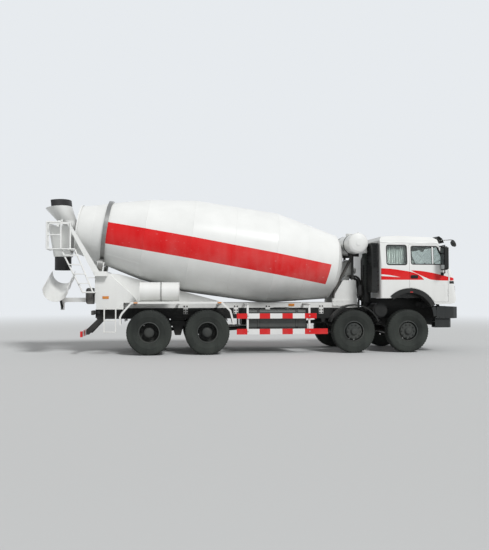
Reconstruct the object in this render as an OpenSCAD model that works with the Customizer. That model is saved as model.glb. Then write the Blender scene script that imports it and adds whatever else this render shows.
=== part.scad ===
// Concrete mixer truck with four axles: tilting cab, inclined drum, swinging chute.
// Millimetres. +X is forward, +Y is the vehicle's left, +Z is up from the ground.
// The origin is on the ground, in the middle of the overall length and width.

/* [Wheelbase] */
// Front bumper face to the first axle
front_overhang = 1350; // [1330:5:1400]
// First axle to second axle, both steered
wheelbase_12 = 1450; // [1430:5:1500]
// Second axle to third axle
wheelbase_23 = 3800; // [3700:10:3900]
// Third axle to fourth axle
wheelbase_34 = 1450; // [1400:5:1500]
// Fourth axle to the hopper's rear lip
rear_overhang = 2730; // [2690:5:2800]

/* [Tyres and wheels] */
// Outer diameter of every tyre
tyre_d = 1125; // [1080:5:1135]
// Section width of every tyre
tyre_w = 300; // [280:2:302]
// Seat diameter of the rims
rim_d = 508; // [495:1:520]
// Between the tyre centres of the steered axles
front_track = 2040; // [2030:2:2060]
// Between the centres of the twin wheels
rear_track = 1860; // [1850:2:1880]
// Between the two tyre centres of one twin wheel
twin_spacing = 340; // [330:2:350]
// Hand holes round each rim
hand_holes = 10; // [8:1:10]

/* [Chassis] */
// Width over the two frame rails
frame_w = 860; // [840:2:870]
// Underside of the frame rails
rail_z = 880; // [870:1:900]
// Depth of the frame rails
rail_h = 280; // [260:2:290]
// Thickness of the rail section
rail_t = 12; // [8:1:16]
// Height of the mixer subframe on the rails
subframe_h = 140; // [130:1:142]

/* [Drum] */
// Tilt of the drum axis, mouth up
drum_tilt = 8; // [7.5:0.1:8.3]
// Height of the drum axis at the front head
drum_z = 2270; // [2265:1:2300]
// Radius of the drum's middle
drum_r = 1235; // [1200:1:1240]
// Radius where the front head meets the front cone
head_r = 880; // [840:1:900]
// Radius of the mouth
mouth_r = 630; // [610:1:640]
// Outer radius of the roller ring
ring_r = 880; // [870:1:885]
// Thickness of the drum shell
drum_wall = 8; // [6:1:12]
// Radius of the support rollers
roller_r = 150; // [140:1:155]

/* [Cab] */
// Width of the cab's body
cab_w = 2464; // [2440:2:2466]
// Thickness of the cab's walls and doors
cab_wall = 50; // [40:1:60]
// Gap round the doors and the front flap
panel_gap = 5; // [4:0.5:6]
// Thickness of the window glass
glass_t = 6; // [5:0.5:8]

/* [Chute] */
// Slope of the chute as parked
chute_slope = 19; // [17:0.5:21]
// Length of the chute's trough
chute_len = 1440; // [1380:10:1450]
// Inner radius of the trough
chute_r = 285; // [275:1:290]

/* [Hidden] */
$fn = 64;
// Clearance of seated pieces, and of a shaft in its bore
seat_gap = 0.3;
run_gap = 0.05;
white = [0.93, 0.93, 0.9];
black = [0.12, 0.12, 0.12];
red = [0.8, 0.1, 0.08];
steel = [0.5, 0.52, 0.53];
glass = [0.35, 0.45, 0.5, 0.5];

total_l = front_overhang + wheelbase_12 + wheelbase_23 + wheelbase_34 + rear_overhang;
body_w = rear_track + twin_spacing + tyre_w;
tyre_r = tyre_d / 2;
hub_z = tyre_r;
ax1 = total_l / 2 - front_overhang;
ax2 = ax1 - wheelbase_12;
ax3 = ax2 - wheelbase_23;
ax4 = ax3 - wheelbase_34;
bogie_x = (ax3 + ax4) / 2;
frame_y = frame_w / 2;
rail_top = rail_z + rail_h;
deck_z = rail_top + subframe_h;
frame_front = ax1 + 1200;
frame_rear = ax4 - 1360;

// Box between two opposite corners
module slab(from, to) translate(from) cube(to - from);

// Outline in X and Z, drawn through from y0 to y1
module side_plate(points, y0, y1)
    translate([0, y1, 0]) rotate([90, 0, 0]) linear_extrude(y1 - y0) polygon(points);

// Outline in Y and Z, drawn through from x0 to x1
module front_plate(points, x0, x1)
    translate([x0, 0, 0]) rotate([90, 0, 90]) linear_extrude(x1 - x0) polygon(points);

// Round bar from a to b
module bar(a, b, d) {
    v = b - a;
    translate(a) rotate([0, acos(v.z / norm(v)), atan2(v.y, v.x)]) cylinder(h = norm(v), d = d);
}

// Round bar along Y, centred on y
module cross_bar(x, y, z, r, w) translate([x, y + w / 2, z]) rotate([90, 0, 0]) cylinder(h = w, r = r);

// The same piece on both sides of the vehicle
module both_sides() {
    children();
    mirror([0, 1, 0]) children();
}

// Outline with its corners [x, y, radius] rounded by short chords
function unit2(v) = v / norm(v);
function corner(a, b, c, r, n = 5) = let(
    p = [b.x, b.y], u = unit2([a.x, a.y] - p), v = unit2([c.x, c.y] - p), half = acos(u * v) / 2,
    centre = p + unit2(u + v) * r / sin(half), s = p + u * r / tan(half) - centre,
    e = p + v * r / tan(half) - centre, sweep = 180 - 2 * half)
    [for (i = [0:n]) centre + (s * sin(sweep * (1 - i / n)) + e * sin(sweep * i / n)) / sin(sweep)];
function rounded(pts) = let(n = len(pts)) [for (i = [0:n - 1], q =
    pts[i].z > 0 ? corner(pts[(i + n - 1) % n], pts[i], pts[(i + 1) % n], pts[i].z)
    : [[pts[i].x, pts[i].y]]) q];

// Anticlockwise outline moved inwards by d
function inset(pts, d) = let(n = len(pts)) [for (i = [0:n - 1]) let(
    u = unit2(pts[i] - pts[(i + n - 1) % n]), v = unit2(pts[(i + 1) % n] - pts[i]),
    a = [-u.y, u.x], b = [-v.y, v.x]) pts[i] + (a + b) * d / (1 + a * b)];

// Closed outline of a sheet of thickness t along an open line
function sheet(pts, t) = let(n = len(pts)) concat(pts, [for (i = [n - 1:-1:0]) let(
    u = unit2(pts[max(i, 1)] - pts[max(i, 1) - 1]),
    v = unit2(pts[min(i + 1, n - 1)] - pts[min(i + 1, n - 1) - 1]),
    a = [-u.y, u.x], b = [-v.y, v.x]) pts[i] + (a + b) * t / (1 + a * b)]);

function arc(cx, cy, r, from, to, n = 12) =
    [for (i = [0:n]) let(a = from + (to - from) * i / n) [cx + r * cos(a), cy + r * sin(a)]];

// Side of the vehicle as +1 for left, -1 for right; a piece drawn for the left is mirrored
module side(s) { if (s > 0) children(); else mirror([0, 1, 0]) children(); }

// Wheels. Profiles are [radius, distance outwards from the tyre's middle].
kingpin_y = front_track / 2 - 170;
rim_r = rim_d / 2;
barrel_t = 10;
hub_r = 100;
spindle_r = 40;
stub_r = 60;
stud_pitch_r = 168;
bead_w = tyre_w * 0.78;

// Revolved about the wheel's axle, outwards along +Y
module turned(points) rotate([-90, 0, 0]) rotate_extrude() polygon(points);

module tyre() {
    half = tyre_w / 2;
    side = [[rim_r + seat_gap, bead_w / 2], [rim_r + 16, bead_w / 2], [rim_r + 40, half * 0.86],
        [tyre_r * 0.71, half], [tyre_r * 0.86, half * 0.97], [tyre_r * 0.965, half * 0.89],
        [tyre_r, half * 0.77]];
    n = len(side);
    turned(concat(side, [for (i = [n - 1:-1:0]) [side[i].x, -side[i].y]]));
}

// Rim of one tyre. The disc runs from the barrel at foot to the stud face at face.
module rim(foot, face) {
    edge = bead_w / 2 + seat_gap;
    t = face > foot ? 12 : -12;
    turned([[rim_r - barrel_t, -edge - 8], [rim_r + 14, -edge - 8], [rim_r + 14, -edge],
        [rim_r, -edge], [rim_r, edge], [rim_r + 14, edge], [rim_r + 14, edge + 8],
        [rim_r - barrel_t, edge + 8]]);
    difference() {
        turned([[rim_r - barrel_t + 1, foot], [205, face - t], [hub_r - 1, face - t],
            [hub_r - 1, face], [200, face], [rim_r - barrel_t + 1, foot + t * 1.6]]);
        for (i = [0:hand_holes - 1]) rotate([0, (i + 0.5) * 360 / hand_holes, 0])
            translate([218, 0, 0]) rotate([90, 0, 0]) cylinder(h = 500, r = 17, center = true);
    }
}

// Steered wheel: convex disc, hub with its cap, and the brake drum
module front_wheel() {
    face = bead_w / 2 + 6;
    tyre();
    rim(20, face);
    turned([[spindle_r + run_gap, -60], [hub_r, -60], [hub_r, face - 1], [0, face + 44],
        [0, 96], [spindle_r + run_gap, 96]]);
    turned([[0, face], [78, face], [78, face + 34], [64, face + 48], [0, face + 48]]);
    turned([[hub_r - 1, 50], [205, 50], [205, -92], [193, -92], [193, 38], [hub_r - 1, 38]]);
}

// Twin wheel, about the middle between its two tyres
module twin_wheel() {
    for (s = [-1, 1]) translate([0, s * twin_spacing / 2, 0]) {
        tyre();
        rim(-s * 110, -s * twin_spacing / 2);
    }
    turned([[stub_r + run_gap, -226], [130, -226], [hub_r, -180], [hub_r, 150], [128, 150],
        [128, 170], [90, 186], [0, 186], [0, 146], [stub_r + run_gap, 146]]);
    turned([[hub_r - 1, -30], [205, -30], [205, -226], [193, -226], [193, -42], [hub_r - 1, -42]]);
}

module wheel(axle, s) color(black) {
    x = [ax1, ax2, ax3, ax4][axle - 1];
    side(s) if (axle < 3) translate([x, front_track / 2, hub_z]) front_wheel();
        else translate([x, rear_track / 2, hub_z]) twin_wheel();
}

// Steered axles: knuckle on a kingpin, its arm, and the tie rod behind the beam
boss_h = 120;
kingpin_r = 25;
arm_l = 200;
arm_z = -95;
pin_r = 12;
eye_h = 40;

module knuckle(x, s) color(steel) side(s) translate([x, kingpin_y, hub_z]) {
    ear = boss_h / 2 + seat_gap;
    spindle_end = front_track / 2 - kingpin_y + 90;
    cylinder(h = 2 * ear + 80, r = kingpin_r, center = true);
    for (z = [ear, -ear - 40]) translate([0, 0, z]) {
        cylinder(h = 40, r = 58);
        slab([-58, 0, 0], [58, 72, 40]);
    }
    slab([-58, 62, -ear - 40], [58, 72, ear + 40]);
    translate([0, 66, 0]) rotate([-90, 0, 0]) cylinder(h = 6, r = 188);
    translate([0, 66, 0]) rotate([-90, 0, 0]) cylinder(h = 40, r = 70);
    translate([0, 66, 0]) rotate([-90, 0, 0]) cylinder(h = spindle_end - 66, r = spindle_r);
    slab([-arm_l, -22, arm_z], [0, 22, arm_z + 20]);
    translate([-arm_l, 0, arm_z - eye_h - 15]) cylinder(h = eye_h + 35, r = pin_r);
    translate([-arm_l, 0, arm_z]) cylinder(h = 20, r = 22);
}

// The right eye is bored wider, because the linkage is opened there
module tie_rod(x) color(steel) translate([x - arm_l, 0, hub_z + arm_z - eye_h - seat_gap]) difference() {
    union() {
        for (s = [-1, 1]) translate([0, s * kingpin_y, 0]) cylinder(h = eye_h, r = 26);
        translate([0, 0, eye_h / 2]) rotate([90, 0, 0])
            cylinder(h = 2 * kingpin_y - 40, r = 18, center = true);
    }
    for (e = [[1, run_gap], [-1, 2]]) translate([0, e[0] * kingpin_y, -1])
        cylinder(h = eye_h + 2, r = pin_r + e[1]);
}

// Outline in Y and Z of a forged front beam, dropped between the springs
beam_top = -20;
module front_beam() {
    half = [[kingpin_y - 30, -58], [kingpin_y - 150, -62], [kingpin_y - 290, -132], [0, -132]];
    top = [[0, beam_top], [480, beam_top], [kingpin_y - 210, 40], [kingpin_y - 30, 58]];
    difference() {
        union() {
            both_sides() front_plate(concat([for (i = [3:-1:0]) half[i]], [for (i = [3:-1:0]) top[i]]),
                -55, 55);
            for (s = [-1, 1]) translate([0, s * kingpin_y, 0]) cylinder(h = boss_h, r = 58, center = true);
        }
        for (s = [-1, 1]) translate([0, s * kingpin_y, 0])
            cylinder(h = boss_h + 2, r = kingpin_r + run_gap, center = true);
    }
}

housing_r = 90;
bogie_seat_y = [470, 560];
pad_z = 98;
module drive_axle() {
    wheel_in = rear_track / 2 - 226;
    both_sides() {
        rotate([-90, 0, 0]) cylinder(h = wheel_in - 10, r = housing_r);
        translate([0, wheel_in - 12, 0]) rotate([-90, 0, 0]) cylinder(h = 8, r = 188);
        translate([0, wheel_in - 20, 0]) rotate([-90, 0, 0]) cylinder(h = 226 + 20 + 140, r = stub_r);
        slab([-70, bogie_seat_y[0], 0], [70, bogie_seat_y[1], pad_z - 30]);
        cross_bar(0, (bogie_seat_y[0] + bogie_seat_y[1]) / 2, pad_z - 30.5, 30,
            bogie_seat_y[1] - bogie_seat_y[0]);
    }
    rotate([0, 90, 0]) cylinder(h = 260, r = 235, center = true);
    rotate([0, 90, 0]) cylinder(h = 330, r = 95);
    rotate([0, 90, 0]) translate([0, 0, 330]) cylinder(h = 40, r = 75);
}

module axles() color(black) {
    for (x = [ax1, ax2]) translate([x, 0, hub_z]) front_beam();
    for (x = [ax3, ax4]) translate([x, 0, hub_z]) drive_axle();
}

// Leaf springs. A pack is one outline: a bowed main leaf with shorter leaves below it.
leaf_t = 14;
function bow(x, l, rise) = rise * x * x / (l * l);
function pack(l, rise, leaves) = let(
    top = [for (i = [-8:8]) [l * i / 8, bow(l * i / 8, l, rise)]],
    step = [for (i = [0:leaves - 1], j = [0, 1]) let(x = l * (1 - i * 0.9 / leaves))
        [x, bow(x, l, rise) - leaf_t * (i + j)]])
    concat([for (i = [len(top) - 1:-1:0]) top[i]], [for (p = step) [-p.x, p.y]],
        [for (i = [len(step) - 1:-1:0]) step[i]]);
front_leaf_l = 640;
front_leaf_y = [frame_y - 82, frame_y - 4];
front_leaves = 5;
rear_leaves = 9;

module springs() color(black) {
    base = hub_z + beam_top + 20 + leaf_t * front_leaves;
    rise = rail_z - 90 - base;
    both_sides() for (x = [ax1, ax2]) translate([x, 0, 0]) {
        translate([0, 0, base]) side_plate(pack(front_leaf_l, rise, front_leaves),
            front_leaf_y[0], front_leaf_y[1]);
        slab([-75, front_leaf_y[0], hub_z + beam_top], [75, front_leaf_y[1], base - 60]);
        for (d = [-55, 55]) translate([d, (front_leaf_y[0] + front_leaf_y[1]) / 2, base - 75])
            slab([-10, -45, 0], [10, 45, 90]);
        for (d = [-1, 1]) side_plate([[d * (front_leaf_l - 60), rail_z], [d * (front_leaf_l - 30),
            rail_z - 110], [d * (front_leaf_l + 30), rail_z - 110], [d * (front_leaf_l + 60), rail_z]],
            front_leaf_y[0], front_leaf_y[1]);
    }
    // Bogie spring, longest leaf below, on the trunnion between the driven axles
    bogie_l = wheelbase_34 / 2;
    drop = 40;
    low = hub_z + pad_z + drop;
    foot = low - 240;
    both_sides() translate([bogie_x, 0, low]) mirror([0, 0, 1])
        side_plate(pack(bogie_l + 60, drop * pow(1 + 60 / bogie_l, 2), rear_leaves),
            bogie_seat_y[0], bogie_seat_y[1]);
    both_sides() {
        side_plate([for (p = [[-130, low], [-70, foot], [70, foot], [130, low]])
            [bogie_x + p.x, p.y]], bogie_seat_y[0], bogie_seat_y[1]);
        side_plate([for (p = [[-190, rail_z], [-80, foot], [80, foot], [190, rail_z]])
            [bogie_x + p.x, p.y]], frame_y - 60, frame_y);
    }
    cross_bar(bogie_x, 0, foot + 50, 45, 2 * bogie_seat_y[0] + 20);
}

// Hinge of the tilting cab as [x, z], and the cab's underside
cab_pivot = [ax1 + 1150, 1235];
cab_pin_r = 14;
cab_eye_r = 28;
cab_z = 1420;
cab_rest_x = ax1 - 690;

// Frame rails: two C-sections, open inwards, with cross members between their webs
flange_w = 85;
cross_x = [ax1 + 1080, ax2 - 300, ax2 - 1500, ax2 - 2700, bogie_x, ax4 - 700, frame_rear + 60];
module frame_rails() color(black) {
    both_sides() difference() {
        slab([frame_rear, frame_y - flange_w, rail_z], [frame_front, frame_y, rail_top]);
        slab([frame_rear - 1, frame_y - flange_w - 1, rail_z + rail_t],
            [frame_front + 1, frame_y - rail_t, rail_top - rail_t]);
    }
    for (x = cross_x) slab([x - 50, rail_t + 1 - frame_y, rail_z + 60],
        [x + 50, frame_y - rail_t - 1, rail_top - 60]);
    for (x = cross_x, s = [-1, 1]) side(s) slab([x - 90, frame_y - rail_t - 10, rail_z + 30],
        [x + 90, frame_y - rail_t, rail_top - 30]);
    // Hinge posts of the cab in front, rests of the cab behind
    both_sides() {
        side_plate([[frame_front - 150, rail_top - 5], [frame_front - 2, rail_top - 5],
            [cab_pivot.x + 26, cab_pivot.y], [cab_pivot.x - 26, cab_pivot.y]], frame_y - 60, frame_y - 20);
        cross_bar(cab_pivot.x, frame_y - 40, cab_pivot.y, cab_eye_r, 40);
        cross_bar(cab_pivot.x, frame_y - 64, cab_pivot.y, cab_pin_r, 88);
    }
    both_sides() {
        slab([cab_rest_x - 40, frame_y - 70, rail_top], [cab_rest_x + 40, frame_y - 10, cab_z - seat_gap]);
        slab([cab_rest_x - 70, frame_y - 80, cab_z - 60], [cab_rest_x + 70, frame_y, cab_z - seat_gap]);
    }
}

// Mixer subframe on the rails, low enough in the middle for the drum to dip between
sub_w = 68;
sub_front = ax2 + 340;
module subframe() color(white) {
    both_sides() slab([frame_rear, frame_y - sub_w, rail_top], [sub_front, frame_y, deck_z]);
    for (x = [sub_front - 60, ax2 - 900, ax2 - 3100, bogie_x + 300])
        slab([x - 40, 1 - frame_y, rail_top], [x + 40, frame_y - 1, rail_top + 70]);
    both_sides() for (x = [ax2 - 700, ax2 - 2150, ax2 - 3000, bogie_x + 200])
        slab([x - 60, frame_y, rail_z + 120], [x + 60, frame_y + 12, rail_top + 90]);
}

// Drum axis. In this frame +Z runs up the axis to the mouth and +X points up.
drum_x = ax2 - 350;
ring_x = ax4 - 1131;
ring_s = (drum_x - ring_x) / cos(drum_tilt);
ring_w = 100;
mouth_s = ring_s + 750;
function on_axis(s) = [drum_x - s * cos(drum_tilt), 0, drum_z + s * sin(drum_tilt)];
module on_drum() translate([drum_x, 0, drum_z]) rotate([0, drum_tilt - 90, 0]) children();

// Outside of the shell from the front head to the mouth, as [radius, place on the axis]
shell_line = [[0, -270], [150, -270], [430, -235], [620, -175], [740, -110], [830, -40], [head_r, 0],
    [drum_r, 1700], [drum_r, ring_s - 2190], [1075, ring_s - 1010], [ring_r - 45, ring_s - ring_w / 2],
    [ring_r - 68, ring_s + ring_w / 2], [mouth_r + 90, ring_s + 340], [mouth_r, mouth_s]];
flange_s = -300;
blade_pitch = 1300;

module drum() color(white) on_drum() {
    rotate_extrude() polygon(sheet(shell_line, drum_wall));
    rotate_extrude() polygon([[ring_r - 60, ring_s - ring_w / 2], [ring_r, ring_s - ring_w / 2],
        [ring_r, ring_s + ring_w / 2], [ring_r - 72, ring_s + ring_w / 2]]);
    rotate_extrude() polygon([[mouth_r - 8, mouth_s - 40], [mouth_r + 26, mouth_s - 40],
        [mouth_r + 26, mouth_s], [mouth_r - 8, mouth_s]]);
    translate([0, 0, flange_s]) cylinder(h = -flange_s - 265, r = 150);
    translate([0, 0, flange_s]) cylinder(h = 18, r = 185);
    // The two mixing blades where they show inside the mouth, as short flat steps
    for (k = [0, 1], i = [0:8]) let(s = ring_s + 60 + i * 70, a = 180 * k + 360 * i * 70 / blade_pitch)
        rotate([0, 0, a]) translate([0, 0, s]) rotate_extrude(angle = 21)
            polygon([[mouth_r - 210, 0], [blade_r(s), 0], [blade_r(s), 8], [mouth_r - 210, 8]]);
}
function blade_r(s) = let(a = ring_s + ring_w / 2, b = ring_s + 340)
    (s < b ? ring_r - 68 + (mouth_r + 90 - ring_r + 68) * (s - a) / (b - a)
    : mouth_r + 90 - 90 * (s - b) / (mouth_s - b)) - drum_wall / 2 - 2;

// Support rollers under the ring, on shafts in the pedestal's cheeks
roller_a = 35;
roller_w = 110;
roller_pin = 30;
module at_roller(s) on_drum() rotate([0, 0, -s * roller_a])
    translate([-(ring_r + roller_r + seat_gap), 0, ring_s]) rotate([0, 0, s * roller_a]) children();
module roller(s) color(steel) at_roller(s) {
    cylinder(h = roller_w, r = roller_r, center = true);
    cylinder(h = roller_w + 2 * 8 + 2 * 24, r = roller_pin, center = true);
    cylinder(h = roller_w + 10, r = roller_pin + 22, center = true);
}

// Rear pedestal: two box legs on the deck, the saddle with the roller bearings,
// long gussets along the subframe and the arms that carry the hopper's frame
saddle_z = drum_z + ring_s * sin(drum_tilt) - (ring_r + roller_r) * cos(roller_a) * cos(drum_tilt) - 182;
leg_y = [400, 600];
arm_y = [708, 738];
leg_line = [[-1390, deck_z], [-330, deck_z], [-330, deck_z + 30], [-430, deck_z + 180],
    [-1080, saddle_z - 20], [-1390, saddle_z - 20]];
module rear_pedestal() color(white) translate([ax4, 0, 0]) {
    both_sides() {
        side_plate(leg_line, leg_y[0], leg_y[1]);
        side_plate([[-1360, deck_z - 170], [-670, deck_z - 170], [-670, deck_z], [-1360, deck_z]],
            frame_y, leg_y[1]);
        side_plate([[-1080, deck_z], [1800, deck_z], [1800, deck_z + 40], [-800, saddle_z - 60],
            [-1080, saddle_z - 40]], frame_y - 50, frame_y - 20);
    }
    slab([-1390, -760, saddle_z - 120], [-1080, 760, saddle_z]);
    slab([-1390, -leg_y[0], deck_z + 20], [-1310, leg_y[0], deck_z + 180]);
    front_plate([[-leg_y[0], deck_z + 180], [leg_y[0], deck_z + 180], [leg_y[0], deck_z + 220],
        [60, saddle_z - 120], [-60, saddle_z - 120], [-leg_y[0], deck_z + 220]], -1390, -1370);
    translate([-ax4, 0, 0]) for (s = [-1, 1]) difference() {
        at_roller(s) for (d = [-1, 1]) translate([0, 0, d * (roller_w / 2 + 8 + 12)]) difference() {
            translate([0, 0, -12]) union() {
                cylinder(h = 24, r = 75);
                slab([-400, -75, 0], [0, 75, 24]);
            }
            cylinder(h = 30, r = roller_pin + run_gap, center = true);
        }
        translate([ax4 - 3000, -1500, saddle_z - 400 - 1]) cube([3000, 3000, 401]);
    }
    both_sides() {
        side_plate([[-1390, saddle_z - 110], [-1270, saddle_z - 110], [-1270, saddle_z],
            [-1990, 3290], [-2070, 3290]], arm_y[0], arm_y[1]);
        slab([-2590, arm_y[0], 3290], [-1970, arm_y[1], 3350]);
    }
    slab([-2590, -arm_y[1], 3290], [-2540, arm_y[1], 3350]);
    // Bearing of the chute's post at the end of a beam
    difference() {
        union() {
            slab([chute_x - ax4, -60, bearing_z[0] + 15], [-1385, 60, bearing_z[1] - 10]);
            translate([chute_x - ax4, 0, bearing_z[0]]) cylinder(h = bearing_z[1] - bearing_z[0], r = 72);
            slab([-1400, -160, bearing_z[0]], [-1385, 160, bearing_z[1] + 20]);
        }
        translate([chute_x - ax4, 0, 1000]) cylinder(h = 600, r = post_r + run_gap);
    }
}

// Front pedestal: two A-plates on the deck with a top plate for the drum's gearbox,
// and posts beside the gearbox up to the water tank's saddles
seat_z = deck_z + 600;
ped_top = [-90, 260];
tank_x = ax2 + 205;
tank_z = drum_z + 600;
tank_r = 270;
tank_l = 1700;
module front_pedestal() color(white) {
    translate([ax2, 0, 0]) {
        both_sides() {
            side_plate([[-390, deck_z], [-390, deck_z + 110], [ped_top[0], seat_z], [ped_top[1], seat_z],
                [300, deck_z + 150], [300, deck_z]], frame_y - 70, frame_y);
            side_plate([[-390, deck_z - 100], [300, deck_z - 100], [300, deck_z + 60], [-390, deck_z + 60]],
                frame_y, frame_y + 20);
            slab([150, frame_y - 66, seat_z - 10], [210, frame_y - 6, tank_z - tank_r - 20]);
        }
        slab([ped_top[0], -frame_y, seat_z - 24], [ped_top[1], frame_y, seat_z]);
        slab([200, -frame_y + 1, deck_z + 20], [280, frame_y - 1, deck_z + 120]);
    }
    both_sides() difference() {
        slab([tank_x - 150, frame_y - 80, tank_z - tank_r - 60], [tank_x + 150, frame_y, tank_z - 150]);
        cross_bar(tank_x, 0, tank_z, tank_r + seat_gap, tank_l);
    }
}

module water_tank() color(white) {
    cross_bar(tank_x, 0, tank_z, tank_r, tank_l);
    both_sides() translate([tank_x, tank_l / 2, tank_z]) turned([[0, -1], [tank_r, -1], [tank_r - 12, 25],
        [tank_r - 60, 52], [tank_r - 150, 72], [0, 80]]);
    translate([tank_x, 0, tank_z + tank_r - 10]) cylinder(h = 50, r = 90);
    translate([tank_x + 60, -tank_l / 2 + 160, tank_z + tank_r - 20]) cylinder(h = 60, r = 20);
}

// Drum gearbox on the pedestal, with its hydraulic motor at the front
module drum_drive() color(white) {
    on_drum() for (c = [[-seat_gap, -60, 195], [-58, -110, 225], [-108, -250, 262], [-248, -300, 170],
        [-298, -430, 85], [-330, -360, 110]])
        translate([0, 0, flange_s + c[1]]) cylinder(h = c[0] - c[1], r = c[2]);
    translate([ax2, 0, 0]) slab([20, -170, seat_z], [160, 170, seat_z + 110]);
}

// Engine as one block at its real place and size, under the cab between the rails
engine_y = 320;
module engine() color(steel) translate([ax1, 0, 0]) {
    slab([-540, -engine_y, rail_z - 60], [560, engine_y, rail_top + 200]);
    slab([-420, -230, rail_z - 210], [430, 230, rail_z - 60]);
    translate([560, 0, rail_z + 150]) rotate([0, 90, 0]) cylinder(h = 60, r = 190);
}

// Gearbox and propeller shafts
shaft_r = 48;
module driveline() color(black) {
    box_x = ax1 - 540;
    box_z = rail_z + 40;
    front_plate([[-210, box_z - 200], [210, box_z - 200], [250, box_z], [160, box_z + 190],
        [-160, box_z + 190], [-250, box_z]], box_x - 620, box_x);
    translate([box_x - 740, 0, box_z - 60]) rotate([0, 90, 0]) cylinder(h = 130, r = 90);
    mid = [ax2 - 1500, 0, hub_z + 150];
    bar([box_x - 735, 0, box_z - 60], mid, 2 * shaft_r);
    bar(mid, [ax3 + 374.5, 0, hub_z + 2], 2 * shaft_r);
    translate(mid) slab([-40, -90, -90], [40, 90, rail_z + 60 - mid.z]);
    bar([ax3 - 136.5, 0, hub_z + 120], [ax4 + 376.5, 0, hub_z + 4], 2 * shaft_r);
}

// Fuel tank on the right rail, strapped to two brackets
tank_span = [ax2 - 2740, ax2 - 1250];
tank_y = [500, 1100];
module tank_bracket(x, y1, low, high) {
    slab([x - 35, frame_y, low], [x + 35, y1, low + 40]);
    slab([x - 35, frame_y, low], [x + 35, tank_y[0], high]);
}
module fuel_tank() color(steel) mirror([0, 1, 0]) {
    low = rail_z - 240;
    high = rail_top - 40;
    for (x = [tank_span[0] + 250, tank_span[1] - 250]) tank_bracket(x, tank_y[1] - 60, low - 40, high - 80);
    front_plate(rounded([[tank_y[0], low, 60], [tank_y[1], low, 60], [tank_y[1], high, 60],
        [tank_y[0], high, 60]]), tank_span[0], tank_span[1]);
    for (x = [tank_span[0] + 250, tank_span[1] - 250]) front_plate(rounded([[tank_y[0] - 8, low - 8, 66],
        [tank_y[1] + 8, low - 8, 66], [tank_y[1] + 8, high + 8, 66], [tank_y[0] - 8, high + 8, 66]]),
        x - 25, x + 25);
    translate([tank_span[1] - 480, tank_y[1] - 120, high]) cylinder(h = 35, r = 55);
}

// Air reservoirs and battery box on the left rail, and the round silencer on the right
muffler_x = ax1 - 705;
module air_tanks() color(black) {
    low = rail_z - 210;
    for (y = [625, 905]) translate([tank_span[1] - 800, y, low + 135]) rotate([0, 90, 0]) {
        cylinder(h = 800, r = 130);
        translate([0, 0, -30]) cylinder(h = 860, r = 105);
    }
    slab([tank_span[0], tank_y[0], low], [tank_span[1] - 880, tank_y[1], rail_z + 170]);
    for (x = [tank_span[0] + 280, tank_span[1] - 640, tank_span[1] - 160])
        tank_bracket(x, tank_y[1] - 60, low - 34, rail_z + 160);
    mirror([0, 1, 0]) {
        cross_bar(muffler_x, 740, rail_z + 225, 190, 540);
        cross_bar(muffler_x, 740, rail_z + 225, 155, 590);
        slab([muffler_x - 60, frame_y, rail_z + 90], [muffler_x + 60, 480, rail_z + 250]);
    }
}

// Air intake behind the cab's right corner: a tall ribbed box with a grille to the side
stack_x = [ax1 - 960, ax1 - 805];
stack_y = [700, 1130];
stack_z = [1560, 2840];
module intake_stack() color(black) mirror([0, 1, 0]) {
    difference() {
        slab([stack_x[0], stack_y[0], stack_z[0]], [stack_x[1], stack_y[1], stack_z[1]]);
        for (i = [0:7]) slab([stack_x[0] + 30, stack_y[1] - 25, stack_z[1] - 90 - i * 75],
            [stack_x[1] - 30, stack_y[1] + 1, stack_z[1] - 40 - i * 75]);
        for (i = [0:7]) slab([stack_x[0] - 1, stack_y[0] + 40, stack_z[1] - 90 - i * 75],
            [stack_x[0] + 20, stack_y[1] - 40, stack_z[1] - 40 - i * 75]);
    }
    for (i = [0:4]) slab([stack_x[0] - 12, stack_y[0] - 10, stack_z[0] + 60 + i * 120],
        [stack_x[1] + 12, stack_y[1] + 12, stack_z[0] + 85 + i * 120]);
    slab([stack_x[0] + 60, frame_y - 60, rail_top], [stack_x[0] + 140, frame_y, stack_z[0] + 60]);
    slab([stack_x[0] + 60, frame_y - 60, stack_z[0]], [stack_x[0] + 140, stack_y[0] + 10, stack_z[0] + 60]);
    translate([stack_x[0] + 30, 560, deck_z]) cylinder(h = 1000, r = 108);
    translate([stack_x[0] + 30, 560, deck_z + 40]) cylinder(h = 40, r = 116);
}

// Rear mudguards over the bogie: one bent sheet a side with a white edge, and arms
// from the subframe that carry it
fender_t = 10;
fender_y = [620, body_w / 2];
fender_z = deck_z + 30;
fender_line = [[ax4 - 720, 760], [ax4 - 730, 960], [ax4 - 680, 1060], [ax4 - 440, fender_z],
    [ax3 + 380, fender_z], [ax3 + 600, 1110], [ax3 + 680, 770]];
module rear_fenders() color(white) both_sides() {
    side_plate(sheet(fender_line, -fender_t), fender_y[0], fender_y[1]);
    side_plate(sheet(fender_line, -45), fender_y[1] - 8, fender_y[1]);
    for (x = [ax4 - 420, bogie_x, ax3 + 330]) {
        slab([x - 25, frame_y, fender_z - 90], [x + 25, fender_y[1] - 60, fender_z - 50]);
        slab([x - 25, fender_y[0] + 30, fender_z - 55], [x + 25, fender_y[1] - 60, fender_z - fender_t + 1]);
    }
}

// Mudguards of the second axle
guard_r = 700;
module front_mudguards() color(black) both_sides() {
    line = arc(ax2, hub_z, guard_r, 158, 22, 12);
    side_plate(sheet(line, -8), 950, 1225);
    side_plate(sheet(line, -34), 1217, 1225);
    for (d = [-1, 1]) slab([ax2 + d * 330 - 20, frame_y, rail_top - 60], [ax2 + d * 330 + 20, 1180,
        rail_top - 30]);
    for (d = [-1, 1]) slab([ax2 + d * 330 - 20, 990, rail_top - 60], [ax2 + d * 330 + 20, 1180,
        hub_z + guard_r * 0.87]);
}

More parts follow.
